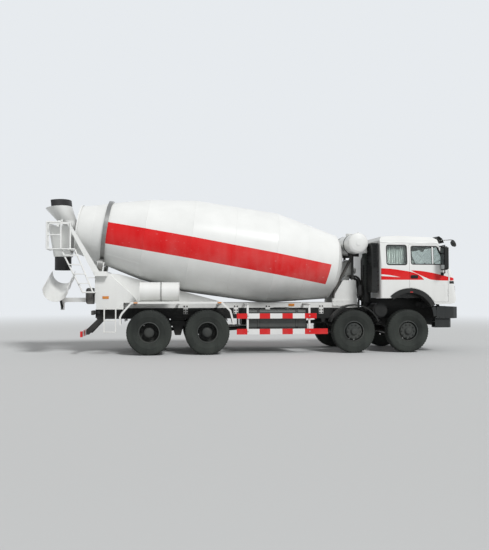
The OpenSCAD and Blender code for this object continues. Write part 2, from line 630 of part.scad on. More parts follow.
// Side guards between the axles: two rails on hangers from the subframe
guard_posts = [ax2 - 2780, ax2 - 1190];
guard_y = 1205;
module side_guards() color(white) both_sides() {
    for (x = guard_posts) {
        slab([x - 25, guard_y - 40, 500], [x + 25, guard_y, deck_z - 20]);
        slab([x - 25, frame_y, deck_z - 70], [x + 25, guard_y, deck_z - 20]);
    }
    slab([ax2 - 3060, guard_y, 505], [ax2 - 720, guard_y + 30, 645]);
    slab([ax2 - 3060, guard_y, 905], [ax2 - 1010, guard_y + 30, 1035]);
}

// Rear underrun bar on sloping arms from the rail ends
rear_bar_x = ax4 - 1660;
module rear_guard() color(red) {
    slab([rear_bar_x - 25, -1100, 460], [rear_bar_x + 25, 1100, 600]);
    both_sides() side_plate([[frame_rear + 180, rail_z], [frame_rear + 20, rail_z],
        [rear_bar_x + 25, 590], [rear_bar_x + 25, 480], [rear_bar_x + 110, 480]], frame_y - 70, frame_y - 10);
}

// Oil cooler with its round fan, behind the rear pedestal on the right
cooler_z = 1475;
module oil_cooler() color(black) translate([ax4, 0, 0]) mirror([0, 1, 0]) {
    slab([-1560, 300, cooler_z - 205], [-1430, 720, cooler_z + 205]);
    translate([-1600, 510, cooler_z]) rotate([0, 90, 0]) difference() {
        cylinder(h = 60, r = 195);
        translate([0, 0, -1]) cylinder(h = 42, r = 180);
    }
    for (a = [0:60:300]) translate([-1585, 510, cooler_z]) rotate([a, 0, 0])
        slab([0, -20, 30], [18, 20, 178]);
    translate([-1588, 510, cooler_z]) rotate([0, 90, 0]) cylinder(h = 32, r = 48);
    slab([-1430, 340, cooler_z - 160], [-1390, 390, cooler_z + 100]);
    slab([-1430, 420, cooler_z - 160], [-1390, 580, cooler_z + 100]);
}

// Charging hopper: an oblique scoop from a wide rim down into the drum's mouth
hop_t = 8;
hop_z = 3760;
hop_y = 500;
hop_rear = ax4 - rear_overhang;
hop_front = ax4 - 2060;
hop_mid = (hop_rear + hop_front) / 2;
hop_tilt = 6;
hop_throat = [ax4 - 1800, 3130];
module hopper_form(d, e) {
    hull() {
        translate([hop_mid, 0, hop_z + 30 + e]) rotate([0, -hop_tilt, 0])
            scale([(hop_front - hop_rear) / 2 - d, hop_y - d, 1]) cylinder(h = 1, r = 1, $fn = 40);
        translate([ax4 - 2180, 0, 3440]) scale([250 - d, 300 - d, 1]) cylinder(h = 1, r = 1, $fn = 32);
    }
    hull() {
        translate([ax4 - 2180, 0, 3440]) scale([250 - d, 300 - d, 1]) cylinder(h = 1, r = 1, $fn = 32);
        translate([hop_throat.x + e * sin(60), 0, hop_throat.y + e * cos(60)]) rotate([0, 60, 0])
            cylinder(h = 1, r = 210 - d, $fn = 32);
    }
}
module charging_hopper() color(white) {
    difference() {
        hopper_form(0, 0);
        hopper_form(hop_t, 2);
    }
    both_sides() slab([ax4 - 2300, 296, 3350], [ax4 - 2240, arm_y[1], 3390]);
    both_sides() slab([ax4 - 2300, 296, 3350], [ax4 - 2240, 340, 3450]);
}

// Discharge funnel under the mouth: a tapering hood, open to the drum
fun_x = [ax4 - 2560, ax4 - 2010];
fun_z = [2500, 3270];
chute_x = ax4 - 2280;
fun_t = 8;
module funnel_form(d, e) hull()
    for (p = [[fun_z[1] - 1 + e, 640, fun_x[0], fun_x[1]], [fun_z[0] - e, 215, fun_x[0] + 65, fun_x[1] - 55]])
        translate([0, 0, p[0]]) linear_extrude(1)
            polygon([[p[2] + d, d - p[1] + 60], [p[2] + d + 60, d - p[1]], [p[3] - d, d - p[1]],
                [p[3] - d, p[1] - d], [p[2] + d + 60, p[1] - d], [p[2] + d, p[1] - d - 60]]);
module discharge_funnel() color(white) {
    difference() {
        funnel_form(0, 0);
        funnel_form(fun_t, 2);
        front_plate([[-240, fun_z[0] + 110], [240, fun_z[0] + 110], [600, fun_z[1] + 1],
            [-600, fun_z[1] + 1]], fun_x[1] - 70, fun_x[1] + 5);
    }
    both_sides() slab([ax4 - 2330, 628, fun_z[1] - 40], [ax4 - 2270, arm_y[1], 3290]);
}

// Rubber skirt under the funnel, and the splash flap round the hopper's front
function oval(a, b) = [for (i = [0:39]) [a * cos(9 * i), b * sin(9 * i)]];
module rubber_skirts() color(black) {
    skirt_r = 212;
    skirt_z = 2150;
    translate([chute_x, 0, skirt_z]) difference() {
        cylinder(h = fun_z[0] - skirt_z - seat_gap, r = skirt_r);
        translate([0, 0, -1]) cylinder(h = 400, r = skirt_r - 12);
    }
    translate([hop_mid, 0, hop_z + 31 + seat_gap]) rotate([0, -hop_tilt, 0]) difference() {
        linear_extrude(165) polygon(oval((hop_front - hop_rear) / 2, hop_y));
        translate([0, 0, -1]) linear_extrude(167)
            polygon(oval((hop_front - hop_rear) / 2 - hop_t, hop_y - hop_t));
        slab([-400, -600, -1], [-120, 600, 170]);
    }
}

// Spare chute lying on the right rear mudguard, its trough towards the drum
module spare_chute() color(white) translate([ax4, 0, 0]) mirror([0, 1, 0]) {
    x = [-240, 750];
    lie_z = fender_z + 25;
    mid_z = lie_z + 235;
    for (g = [[x[0], x[1], 235], [x[0] + 525, x[0] + 540, 248], [x[0], x[0] + 12, 248],
            [x[1] - 12, x[1], 248]]) difference() {
        translate([g[0], 930, mid_z]) rotate([0, 90, 0]) cylinder(h = g[1] - g[0], r = g[2]);
        translate([g[0] - 1, 930, mid_z]) rotate([0, 90, 0]) cylinder(h = g[1] - g[0] + 2, r = 229);
        slab([g[0] - 1, 0, mid_z - 300], [g[1] + 1, 880, mid_z + 300]);
    }
    for (i = [0.2, 0.8]) slab([x[0] + i * (x[1] - x[0]) - 20, 900, fender_z],
        [x[0] + i * (x[1] - x[0]) + 20, 1000, lie_z + 6]);
}

// Ladders and the inspection platform on the right
tube_d = 40;
step_d = 26;
module ladders() color(white) translate([ax4, 0, 0]) mirror([0, 1, 0]) {
    y = 900;
    front_rail = [[-1850, y, 2630], [-1400, y, 1560]];
    rear_rail = [[-2190, y, 2640], [-1650, y, 1560]];
    for (r = [front_rail, rear_rail]) bar(r[0], r[1], tube_d);
    bar([-1670, y, 1570], [-1380, y, 1570], tube_d);
    for (i = [1:4]) let(t = i / 4.6) bar(front_rail[1] + t * (front_rail[0] - front_rail[1]),
        rear_rail[1] + t * (rear_rail[0] - rear_rail[1]), step_d);
    for (p = [[-1380, 1570, tube_d], [-1380, 1940, step_d]]) bar([p.x, y, p.y], [p.x, leg_y[1], p.y], p.z);
    bar([-1560, y, 1940], [-1370, y, 1940], step_d);
    // Platform with its railing, hung from the hopper's frame
    slab([-2550, 450, 2640], [-1850, 980, 2665]);
    for (x = [-2530, -1990]) {
        bar([x, 470, 2650], [x, 985, 2650], tube_d);
        bar([x, arm_y[1] + 25, 2650], [x, arm_y[1] + 25, 3320], tube_d);
        bar([x, arm_y[1], 3320], [x, arm_y[1] + 45, 3320], tube_d);
    }
    bar([-2530, arm_y[1] + 25, 3320], [-2530, 970, 3320], tube_d);
    bar([-2530, arm_y[1] + 25, 3000], [-2530, 970, 3000], step_d);
    for (x = [-2530, -2190]) bar([x, 970, 2650], [x, 970, 3330], tube_d);
    bar([-2530, 970, 3320], [-2190, 970, 3320], tube_d);
    bar([-2530, 970, 3000], [-2190, 970, 3000], step_d);
    // Lower ladder under the deck
    for (x = [-1100, -820]) {
        slab([x - 15, 1120, 560], [x + 15, 1150, deck_z - 150]);
        slab([x - 15, leg_y[1], deck_z - 170], [x + 15, 1150, deck_z - 140]);
    }
    for (z = [565, 850]) slab([-1110, 1120, z], [-810, 1150, z + 26]);
}

// Chute, swung to the right as parked. In this frame +X runs out along the chute.
post_r = 45;
pivot_z = 1640;
pivot_r = 15;
jack_foot = [88, 1155];
jack_head = [470, 1490];
trough_z = 2030;
trough_back = 150;
trough_t = 6;
lug_y = [60, 76];
bearing_z = [1300, 1440];
module at_chute() translate([chute_x, 0, 0]) rotate([0, 0, -90]) children();

module chute_bracket() color(white) at_chute() {
    translate([0, 0, 1110]) cylinder(h = pivot_z - 1110, r = post_r);
    translate([0, 0, bearing_z[1] + seat_gap]) cylinder(h = 40, r = post_r + 22);
    cross_bar(0, 0, pivot_z, 46, 2 * lug_y[0] - 6);
    cross_bar(0, 0, pivot_z, pivot_r, 2 * lug_y[1] + 8);
    slab([0, -36, jack_foot.y - 40], [jack_foot.x - 32, 36, jack_foot.y + 28]);
    both_sides() slab([jack_foot.x - 40, 26, jack_foot.y - 40], [jack_foot.x + 28, 36, jack_foot.y + 28]);
    cross_bar(jack_foot.x, 0, jack_foot.y, 12, 72);
}

// Trough: half a pipe with upright edges and rolled rims, on two lugs
module chute() color(white) at_chute() difference() {
    $fn = 160;
    union() {
        translate([0, 0, trough_z]) rotate([0, chute_slope, 0]) {
            difference() {
                union() {
                    translate([-trough_back, 0, 0]) rotate([0, 90, 0])
                        cylinder(h = chute_len, r = chute_r + trough_t);
                    slab([-trough_back, -chute_r - trough_t, 0], [chute_len - trough_back,
                        chute_r + trough_t, 50]);
                }
                translate([-trough_back - 1, 0, 0]) rotate([0, 90, 0]) cylinder(h = chute_len + 2, r = chute_r);
                slab([-trough_back - 1, -chute_r, 0], [chute_len + 1, chute_r, 400]);
            }
            for (s = [-1, 1]) translate([-trough_back, s * (chute_r + trough_t), 46]) rotate([0, 90, 0])
                cylinder(h = chute_len, r = 10);
            for (x = [60, 620, chute_len - 280]) translate([x, 0, 0]) difference() {
                rotate([0, 90, 0]) cylinder(h = 10, r = chute_r + 22);
                translate([-1, 0, 0]) rotate([0, 90, 0]) cylinder(h = 12, r = chute_r + 2);
                slab([-1, -400, 0], [11, 400, 400]);
            }
        }
        both_sides() side_plate([[-60, trough_z - chute_r - 5], [-36, pivot_z - 10], [0, pivot_z - 34],
            [36, pivot_z - 10], [110, trough_z - chute_r - 40]], lug_y[0], lug_y[1]);
        both_sides() side_plate([[jack_head.x - 90, jack_head.y + 110], [jack_head.x - 24, jack_head.y - 26],
            [jack_head.x + 24, jack_head.y - 26], [jack_head.x + 60, jack_head.y + 50]], 32, 42);
        cross_bar(jack_head.x, 0, jack_head.y, 12, 84);
    }
    cross_bar(0, 0, pivot_z, pivot_r + run_gap, 2 * lug_y[1] + 20);
    translate([0, 0, trough_z]) rotate([0, chute_slope, 0]) translate([-300, 0, 0]) rotate([0, 90, 0])
        cylinder(h = 1800, r = chute_r);
}

// Jack that holds the chute's slope, drawn along its own axis from foot to head
jack_v = jack_head - jack_foot;
jack_len = norm(jack_v);
jack_a = atan2(jack_v.y, jack_v.x);
barrel_l = 332;
rod_l = 306;
head_eye_r = 32;
module on_jack() at_chute() translate([jack_foot.x, 0, jack_foot.y]) rotate([0, 90 - jack_a, 0]) children();
module jack_barrel() color(black) on_jack() difference() {
    union() {
        cross_bar(0, 0, 0, 24, 40);
        cylinder(h = 60, r = 18);
        translate([0, 0, 44]) cylinder(h = barrel_l - 44, r = 30);
        translate([0, 0, barrel_l - 30]) cylinder(h = 30, r = 35);
    }
    cross_bar(0, 0, 0, 12 + run_gap, 50);
    translate([0, 0, 56]) cylinder(h = barrel_l, r = 17 + run_gap);
}
module jack_rod() color(steel) on_jack() {
    difference() {
        union() {
            translate([0, 0, jack_len - rod_l]) cylinder(h = rod_l, r = 17);
            translate([0, 0, jack_len]) cross_bar(0, 0, 0, head_eye_r, 50);
        }
        translate([0, 0, jack_len]) cross_bar(0, 0, 0, head_eye_r - 12, 60);
    }
}

// Bumper: open to the rear, with the end of the wheel arch and the step panel below
bumper_z = [890, 1192];
bumper_t = 10;
head_y = [780, 1110];
head_z = [980, 1160];
fog_y = [780, 1000];
fog_z = [740, 860];
tow_y = 390;
tow_pin = 21;
module front_bumper() color(black) translate([ax1, 0, 0]) {
    line = [[740, -1250], [1200, -1250], [1350, -1120], [1350, 1120], [1200, 1250], [740, 1250]];
    step = [[710, -1210], [1100, -1210], [1180, -1110], [1180, 1110], [1100, 1210], [710, 1210]];
    difference() {
        union() {
            translate([0, 0, bumper_z[0]]) linear_extrude(bumper_z[1] - bumper_z[0])
                polygon(sheet(line, bumper_t));
            translate([0, 0, bumper_z[1] - bumper_t]) linear_extrude(bumper_t) polygon(sheet(line, 60));
            translate([0, 0, bumper_z[0]]) linear_extrude(bumper_t) polygon(sheet(line, 200));
            translate([0, 0, 650]) linear_extrude(bumper_z[0] - 650) polygon(sheet(step, bumper_t));
            both_sides() for (z = [650, 780]) slab([710, 980, z], [1080, 1205, z + 12]);
            both_sides() slab([710, 980, 650], [1080, 990, bumper_z[0] + 1]);
        }
        both_sides() slab([1200, head_y[0], head_z[0]], [1400, head_y[1], head_z[1]]);
        both_sides() slab([1100, fog_y[0], fog_z[0]], [1200, fog_y[1], fog_z[1]]);
        both_sides() slab([1300, tow_y - 50, 975], [1400, tow_y + 50, 1105]);
        both_sides() translate([1308, tow_y, bumper_z[0] - 1]) cylinder(h = 2 * bumper_t, r = tow_pin + 4);
        slab([1100, -frame_y - 10, rail_z - 10], [1201, frame_y + 10, bumper_z[0] + 20]);
    }
    both_sides() {
        side_plate(sheet(arc(20, 920, 640, 23, 2, 5), 100), 1205, 1245);
        slab([1200 + seat_gap, tow_y - 35, 900 - 5], [1210, tow_y + 35, 1195]);
        slab([1200 + seat_gap, tow_y - 35, 900 - 5], [1345, tow_y - 25, 970]);
        slab([1205, tow_y + 25, 1110], [1345, tow_y + 35, 1195]);
        difference() {
            for (z = [985, 1070]) slab([1205, tow_y - 40, z], [1348, tow_y + 40, z + 25]);
            translate([1308, tow_y, 900]) cylinder(h = 300, r = tow_pin);
        }
    }
}

tail_x = ax4 - 1440;
module lamps() color(glass) {
    translate([ax1, 0, 0]) both_sides() {
        slab([1270, head_y[0] + seat_gap, head_z[0] + seat_gap],
            [1348, head_y[1] - seat_gap, head_z[1] - seat_gap]);
        slab([1130, fog_y[0] + seat_gap, fog_z[0] + seat_gap],
            [1178, fog_y[1] - seat_gap, fog_z[1] - seat_gap]);
    }
    both_sides() slab([tail_x, 520, 1000], [tail_x + 60, 920, 1110]);
    both_sides() slab([tail_x + 60, frame_y + 20, 1020], [tail_x + 76, 700, 1090]);
    both_sides() slab([tail_x + 70, frame_y + seat_gap, 1020], [tail_x + 170, frame_y + 22, 1090]);
}

// Cab body inset by i: side outline, front outline, rounded front corners, rounded rear
cab_side = [[-760, cab_z], [600, cab_z], [640, 1260], [1110, 1260], [1240, 1290], [1320, 1400],
    [1310, 1800], [1250, 1970], [1150, 2240], [1130, 2260], [870, 2840], [820, 2950], [700, 3020],
    [-240, 3060], [-700, 3030], [-760, 2930]];
cab_hw = cab_w / 2;
cab_front = [[-1060, 3060], [-1160, 2930], [-1182, 2840], [-cab_hw, 2260], [-cab_hw, 1200],
    [cab_hw, 1200], [cab_hw, 2260], [1182, 2840], [1160, 2930], [1060, 3060], [600, 3100], [-600, 3100]];
corner_r = 110;
module corner_prism(x, z, lean, z0, z1, i) intersection() {
    slab([-900, -1400, z0], [1500, 1400, z1]);
    translate([x, 0, z]) rotate([0, -lean, 0]) translate([0, 0, -1200]) linear_extrude(3600)
        polygon(inset(rounded([[-3000, -cab_hw, 0], [0, -cab_hw, corner_r], [0, cab_hw, corner_r],
            [-3000, cab_hw, 0]]), i));
}
module cab_solid(i) intersection() {
    side_plate(inset(cab_side, i), -1300, 1300);
    front_plate(inset(cab_front, i), -900, 1500);
    linear_extrude(4000) polygon(inset(rounded([[-760, -cab_hw, 60], [2000, -cab_hw, 0],
        [2000, cab_hw, 0], [-760, cab_hw, 60]]), i));
    union() {
        corner_prism(1320, 1400, 0, 1000, 1400, i);
        corner_prism(1320, 1400, 7, 1400, 1970, i);
        corner_prism(1250, 1970, 24.1, 1970, 3400, i);
    }
}

arch = [20, 920];
arch_r = 700;
door_line = concat([[15, 1688.6]], [for (a = [84:-6:36]) arch + 768 * [cos(a), sin(a)]],
    [[700, 1315], [1070, 1315], [1075, 1320], [1075, 2240], [840, 2790], [815, 2820], [30, 2820],
    [15, 2805]]);
door_window = rounded([[70, 2300, 40], [985, 2300, 40], [795, 2780, 60], [70, 2780, 40]]);
sleeper_window = rounded([[-590, 2290, 50], [-50, 2290, 50], [-50, 2800, 50], [-590, 2800, 50]]);
screen = rounded([[-1050, 2290, 60], [1050, 2290, 60], [995, 2800, 60], [-995, 2800, 60]]);
flap_edge = rounded([[-980, 1450, 20], [980, 1450, 20], [980, 2195, 20], [-980, 2195, 20]]);
glass_in = [18, 18 + glass_t];

// Room in the wall for a door, out from y beside its lower front corner
module door_room(outline, y) difference() {
    side_plate(outline, 1095, 1300);
    slab([400, 1000, 1200], [720, y, 1500]);
}

// Hinges of the doors and the flap, along Z from 0: one eye of the moving panel between
// two of the cab, on a pin; a panel is cut away round the other's eyes
hinge_r = 11;
hinge_pin_r = 5;
eye_l = 50;
door_hinge = [1072.5, cab_hw];
door_hinge_z = [1480, 2080];
flap_hinge = [1150.5, 2192.5];
flap_hinge_y = [-780, 620];
module cab_eyes() {
    for (z = [0, 2 * (eye_l + panel_gap)]) translate([0, 0, z]) cylinder(h = eye_l, r = hinge_r);
    cylinder(h = 3 * eye_l + 2 * panel_gap, r = hinge_pin_r);
}
module cab_eye_room() for (z = [0, 2 * (eye_l + panel_gap)]) translate([0, 0, z - panel_gap])
    cylinder(h = eye_l + 2 * panel_gap, r = hinge_r + panel_gap);
module panel_eye() translate([0, 0, eye_l + panel_gap]) cylinder(h = eye_l, r = hinge_r);
module panel_eye_room() translate([0, 0, eye_l]) cylinder(h = eye_l + 2 * panel_gap, r = hinge_r + panel_gap);
module pin_hole() translate([0, 0, -panel_gap])
    cylinder(h = 3 * eye_l + 4 * panel_gap, r = hinge_pin_r + run_gap);
module at_door_hinges() for (z = door_hinge_z) translate([door_hinge.x, door_hinge.y, z]) children();
module at_flap_hinges() for (y = flap_hinge_y) translate([flap_hinge.x, y, flap_hinge.y])
    rotate([-90, 0, 0]) children();

module cab_shell() color(white) translate([ax1, 0, 0]) {
    difference() {
        cab_solid(0);
        both_sides() at_door_hinges() panel_eye_room();
        at_flap_hinges() panel_eye_room();
        difference() {
            cab_solid(cab_wall);
            both_sides() cross_bar(arch.x, 1300, arch.y, arch_r + cab_wall, 2 * (1300 - 930 + cab_wall));
        }
        both_sides() cross_bar(arch.x, 1300, arch.y, arch_r, 2 * (1300 - 930));
        both_sides() door_room(door_line, cab_hw - cab_wall);
        both_sides() side_plate(sleeper_window, 1000, 1300);
        front_plate(screen, 600, 1400);
        front_plate(flap_edge, 1100, 1400);
    }
    slab([1040, -1150, 1300], [1060, 1150, 2215]);
    both_sides() at_door_hinges() cab_eyes();
    at_flap_hinges() cab_eyes();
    both_sides() difference() {
        union() {
            side_plate([[1070, 1290], [1070, 1262], [cab_pivot.x - ax1 - 24, cab_pivot.y - 14],
                [cab_pivot.x - ax1 + 27, cab_pivot.y], [cab_pivot.x - ax1 + 27, 1290]],
                frame_y - 100, frame_y - 65);
            cross_bar(cab_pivot.x - ax1, frame_y - 82.5, cab_pivot.y, cab_eye_r, 35);
        }
        cross_bar(cab_pivot.x - ax1, frame_y, cab_pivot.y, cab_pin_r + run_gap, 400);
    }
}

// Fixed glass: windscreen and sleeper windows, let into the walls
module pane() intersection() {
    difference() { cab_solid(glass_in[0]); cab_solid(glass_in[1]); }
    children();
}
module cab_glass() color(glass) translate([ax1, 0, 0]) {
    pane() front_plate(inset(screen, seat_gap), 600, 1400);
    pane() both_sides() side_plate(inset(sleeper_window, seat_gap), 1000, 1300);
}

module door_shape() difference() {
    union() {
        intersection() {
            difference() { cab_solid(0); cab_solid(cab_wall); }
            difference() {
                door_room(inset(door_line, panel_gap), cab_hw - cab_wall + panel_gap);
                side_plate(door_window, 1000, 1300);
                at_door_hinges() cab_eye_room();
            }
        }
        at_door_hinges() panel_eye();
    }
    at_door_hinges() pin_hole();
}
module door_left() color(white) translate([ax1, 0, 0]) door_shape();
module door_right() color(white) translate([ax1, 0, 0]) mirror([0, 1, 0]) door_shape();
module door_pane() pane() side_plate(inset(door_window, seat_gap), 1100, 1300);
module door_glass_left() color(glass) translate([ax1, 0, 0]) door_pane();
module door_glass_right() color(glass) translate([ax1, 0, 0]) mirror([0, 1, 0]) door_pane();

// Front flap over the grille: slatted below, a plain panel above
slat_z = [1500, 1590, 1680, 1770];
module front_flap() color(white) translate([ax1, 0, 0]) difference() {
    union() {
        intersection() {
            difference() { cab_solid(0); cab_solid(cab_wall); }
            difference() {
                front_plate(inset(flap_edge, panel_gap), 1100, 1400);
                at_flap_hinges() cab_eye_room();
            }
        }
        at_flap_hinges() panel_eye();
    }
    at_flap_hinges() pin_hole();
    for (z = slat_z) slab([1200, -900, z], [1400, 900, z + 52]);
}

// Flares over the first axle, fixed to the cab
flare_a = [25, 134];
module wheel_flares() color(black) translate([ax1, 0, 0]) both_sides() {
    side_plate(sheet(arc(arch.x, arch.y, 640, flare_a[1], flare_a[0], 14), 120), cab_hw + seat_gap, 1250);
    side_plate(sheet(arc(arch.x, arch.y, 640, flare_a[1], flare_a[0], 14), 10), 950, 1240);
    for (a = [40, 90, 132]) translate([arch.x, 0, arch.y]) rotate([0, -a, 0])
        slab([645, 960, -25], [arch_r - 1, 1225, 25]);
}

// Sun visor over the windscreen, with the two close-range mirrors in front of the roof
module roof_visor() color(black) translate([ax1, 0, 0]) {
    side_plate(sheet([[880, 3050], [965, 2990], [1015, 2880]], 8), -1100, 1100);
    foot = [[858.6, 2844.9], [814, 2944.7]];
    for (y = [-1000, -340, 340, 1000]) side_plate([foot[0] + [0.3, 0.2], [1010, 2899], [967, 2993],
        [884, 3051], foot[1] + [0.3, 0.2]], y - 8, y + 8);
    for (s = [-1, 1]) {
        bar([900, s * 1080, 2940], [1250, s * 1080, 2965], 20);
        bar([1250, s * 1080, 2965], [1280, s * 1080, 2900], 20);
        translate([1250, s * 1080, 2850]) rotate([0, 65, 0]) {
            cylinder(h = 40, r1 = 70, r2 = 100);
            translate([0, 0, 40]) cylinder(h = 25, r = 100);
        }
    }
}

// Cab inside: two seats, dashboard, steering wheel and bunk
module seat(y) translate([120, y, 0]) {
    slab([-180, -190, cab_z + cab_wall + seat_gap], [220, 190, 1701]);
    translate([0, 0, 1700]) linear_extrude(130)
        polygon(rounded([[-240, -240, 60], [280, -240, 60], [280, 240, 60], [-240, 240, 60]]));
    translate([-230, 0, 1800]) rotate([0, -12, 0]) {
        side_plate(rounded([[-55, -40, 20], [55, -40, 20], [40, 580, 40], [-55, 580, 40]]), -230, 230);
        side_plate(rounded([[-45, 600, 30], [45, 600, 30], [35, 770, 30], [-45, 770, 30]]), -140, 140);
        both_sides() slab([-8, 40, 570], [8, 56, 610]);
    }
}
module cab_interior() color(black) translate([ax1, 0, 0]) {
    for (y = [-620, 620]) seat(y);
    // Engine cover between the seats, dashboard, bunk
    slab([-300, -380, cab_z + cab_wall], [700, 380, 1700]);
    side_plate([[1040 - seat_gap, 1800], [1040 - seat_gap, 2180], [960, 2270], [860, 2270], [700, 2180], [680, 2060],
        [760, 1950], [800, 1800]], -1110, 1110);
    slab([-709, -1120, 1800], [-250, 1120, 1860]);
    slab([-709, -860, cab_z + cab_wall + seat_gap], [-300, 860, 1801]);
    translate([0, 0, 1859]) linear_extrude(111)
        polygon(rounded([[-700, -1110, 50], [-250, -1110, 50], [-250, 1110, 50], [-700, 1110, 50]]));
    // Steering wheel and column on the left
    translate([560, 620, 2190]) rotate([0, -28, 0]) {
        rotate_extrude() translate([225, 0]) circle(r = 16, $fn = 16);
        cylinder(h = 30, r = 70, center = true);
        for (a = [90, 210, 330]) rotate([0, 0, a]) slab([0, -18, -8], [225, 18, 8]);
    }
    bar([560, 620, 2190], [820, 620, 1700], 60);
    bar([820, 620, 1715], [860, 620, 1316], 44);
}

// Mirrors on the doors: a tall main glass with the wide one above, on two arms
mirror_y = 1395;
module mirror_form() color(black) translate([ax1, 0, 0]) {
    case = rounded([[mirror_y - 135, 2150, 45], [mirror_y + 135, 2150, 45], [mirror_y + 135, 2760, 45],
        [mirror_y - 135, 2760, 45]]);
    front_plate(case, 850, 925);
    front_plate(inset(case, 25), 924, 965);
    bar([905, mirror_y, 2180], [905, mirror_y, 2070], 28);
    bar([905, mirror_y + 13, 2080], [905, cab_hw + 12, 2050], 28);
    bar([905, mirror_y, 2730], [905, mirror_y, 2800], 28);
    bar([905, mirror_y + 13, 2790], [838, 1215, 2770], 28);
    slab([865, cab_hw + seat_gap, 2010], [945, cab_hw + 14, 2090]);
}
module mirror_left() mirror_form();
module mirror_right() mirror([0, 1, 0]) mirror_form();

frame_rails();
subframe();
front_pedestal();
drum_drive();
rear_pedestal();
front_bumper();
lamps();
engine();
axles();
springs();
driveline();
fuel_tank();
air_tanks();
intake_stack();
rear_fenders();
front_mudguards();
side_guards();
rear_guard();
ladders();
charging_hopper();
discharge_funnel();
rubber_skirts();
water_tank();
spare_chute();
oil_cooler();
cab_shell();
cab_glass();
cab_interior();
roof_visor();
wheel_flares();
front_flap();
door_left();
door_right();
door_glass_left();
door_glass_right();
mirror_left();
mirror_right();
knuckle(ax1, 1);  // knuckle_1_left
knuckle(ax1, -1);  // knuckle_1_right
knuckle(ax2, 1);  // knuckle_2_left
knuckle(ax2, -1);  // knuckle_2_right
tie_rod(ax1);  // tie_rod_1
tie_rod(ax2);  // tie_rod_2
wheel(1, 1);  // wheel_1_left
wheel(1, -1);  // wheel_1_right
wheel(2, 1);  // wheel_2_left
wheel(2, -1);  // wheel_2_right
wheel(3, 1);  // wheel_3_left
wheel(3, -1);  // wheel_3_right
wheel(4, 1);  // wheel_4_left
wheel(4, -1);  // wheel_4_right
drum();
roller(1);  // roller_left
roller(-1);  // roller_right
chute_bracket();
chute();
jack_barrel();
jack_rod();
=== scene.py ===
"""Looks of a concrete mixer truck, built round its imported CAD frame. All sizes in metres."""

from math import atan2, cos, pi, radians, sin

import bmesh
import bpy
from mathutils import Matrix, Vector


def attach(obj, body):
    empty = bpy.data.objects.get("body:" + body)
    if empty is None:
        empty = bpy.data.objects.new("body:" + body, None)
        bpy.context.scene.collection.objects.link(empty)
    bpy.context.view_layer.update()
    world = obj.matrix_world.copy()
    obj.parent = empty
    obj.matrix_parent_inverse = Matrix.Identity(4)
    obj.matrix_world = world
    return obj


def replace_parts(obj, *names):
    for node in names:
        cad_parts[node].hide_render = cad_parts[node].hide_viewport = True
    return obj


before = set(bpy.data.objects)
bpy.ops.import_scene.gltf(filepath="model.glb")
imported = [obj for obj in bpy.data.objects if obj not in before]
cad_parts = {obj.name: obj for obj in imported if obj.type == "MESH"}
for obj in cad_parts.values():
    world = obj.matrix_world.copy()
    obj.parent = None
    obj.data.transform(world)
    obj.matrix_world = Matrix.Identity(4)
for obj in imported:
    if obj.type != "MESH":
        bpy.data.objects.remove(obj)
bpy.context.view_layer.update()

# Camera
# The photograph's main view: from the vehicle's right side, level with its tyres' tops,
# turned a little towards the cab.
EYE = Vector((-2.180, -17.290, 1.552))
YAW, PITCH = radians(6.76), radians(1.61)
camera_data = bpy.data.cameras.new("camera")
camera_data.lens, camera_data.sensor_width, camera_data.clip_end = 41.9, 36.0, 400.0
camera = bpy.data.objects.new("camera", camera_data)
ahead = Vector((sin(YAW) * cos(PITCH), cos(YAW) * cos(PITCH), sin(PITCH)))
camera.matrix_world = Matrix.Translation(EYE) @ ahead.to_track_quat("-Z", "Y").to_matrix().to_4x4()
bpy.context.scene.collection.objects.link(camera)
bpy.context.scene.camera = camera
bpy.context.scene.view_settings.view_transform = "Standard"

# Floor and light
# A wide pale yard that fades into the pale surroundings, one broad key lamp from the
# right and front, and even light from all round.
PALE = (0.80, 0.83, 0.86, 1.0)
FLOOR_TONE = (0.56, 0.57, 0.57, 1.0)
AMBIENT, KEY = 0.46, 2.4
YARD_HALF, FADE_FROM, FADE_TO = 150, 11.0, 34.0


def link_object(name, data):
    """A new object in the scene for this mesh or lamp."""
    thing = bpy.data.objects.new(name, data)
    bpy.context.scene.collection.objects.link(thing)
    return thing


def add_node(tree, kind, values=None, **settings):
    """A shader node with its settings made and its sockets filled or joined."""
    made = tree.nodes.new(kind)
    for key, value in settings.items():
        setattr(made, key, value)
    for key, value in (values or {}).items():
        value = getattr(value, "socket", value)
        if isinstance(value, bpy.types.NodeSocket):
            tree.links.new(value, made.inputs[key])
        else:
            made.inputs[key].default_value = value
    return made


def own_place(tree):
    """Places over the piece, in metres from the frame's origin."""
    return add_node(tree, "ShaderNodeTexCoord").outputs["Object"]


def sees_surroundings(tree):
    """1 where a ray comes from the camera, a reflection or glass."""
    path = add_node(tree, "ShaderNodeLightPath")
    seen = add_node(tree, "ShaderNodeMath", {0: path.outputs["Is Camera Ray"],
                    1: path.outputs["Is Glossy Ray"]}, operation="MAXIMUM")
    seen = add_node(tree, "ShaderNodeMath", {0: seen.outputs[0],
                    1: path.outputs["Is Transmission Ray"]}, operation="MAXIMUM")
    return seen.outputs[0]


world = bpy.data.worlds.new("surroundings")
world.use_nodes = True
world.node_tree.nodes.clear()
plain = add_node(world.node_tree, "ShaderNodeBackground",
                 {"Color": (1.0, 1.0, 1.0, 1.0), "Strength": AMBIENT})
shown = add_node(world.node_tree, "ShaderNodeBackground", {"Color": PALE, "Strength": 1.0})
either = add_node(world.node_tree, "ShaderNodeMixShader",
                  {0: sees_surroundings(world.node_tree), 1: plain.outputs[0], 2: shown.outputs[0]})
add_node(world.node_tree, "ShaderNodeOutputWorld", {"Surface": either.outputs[0]})
bpy.context.scene.world = world

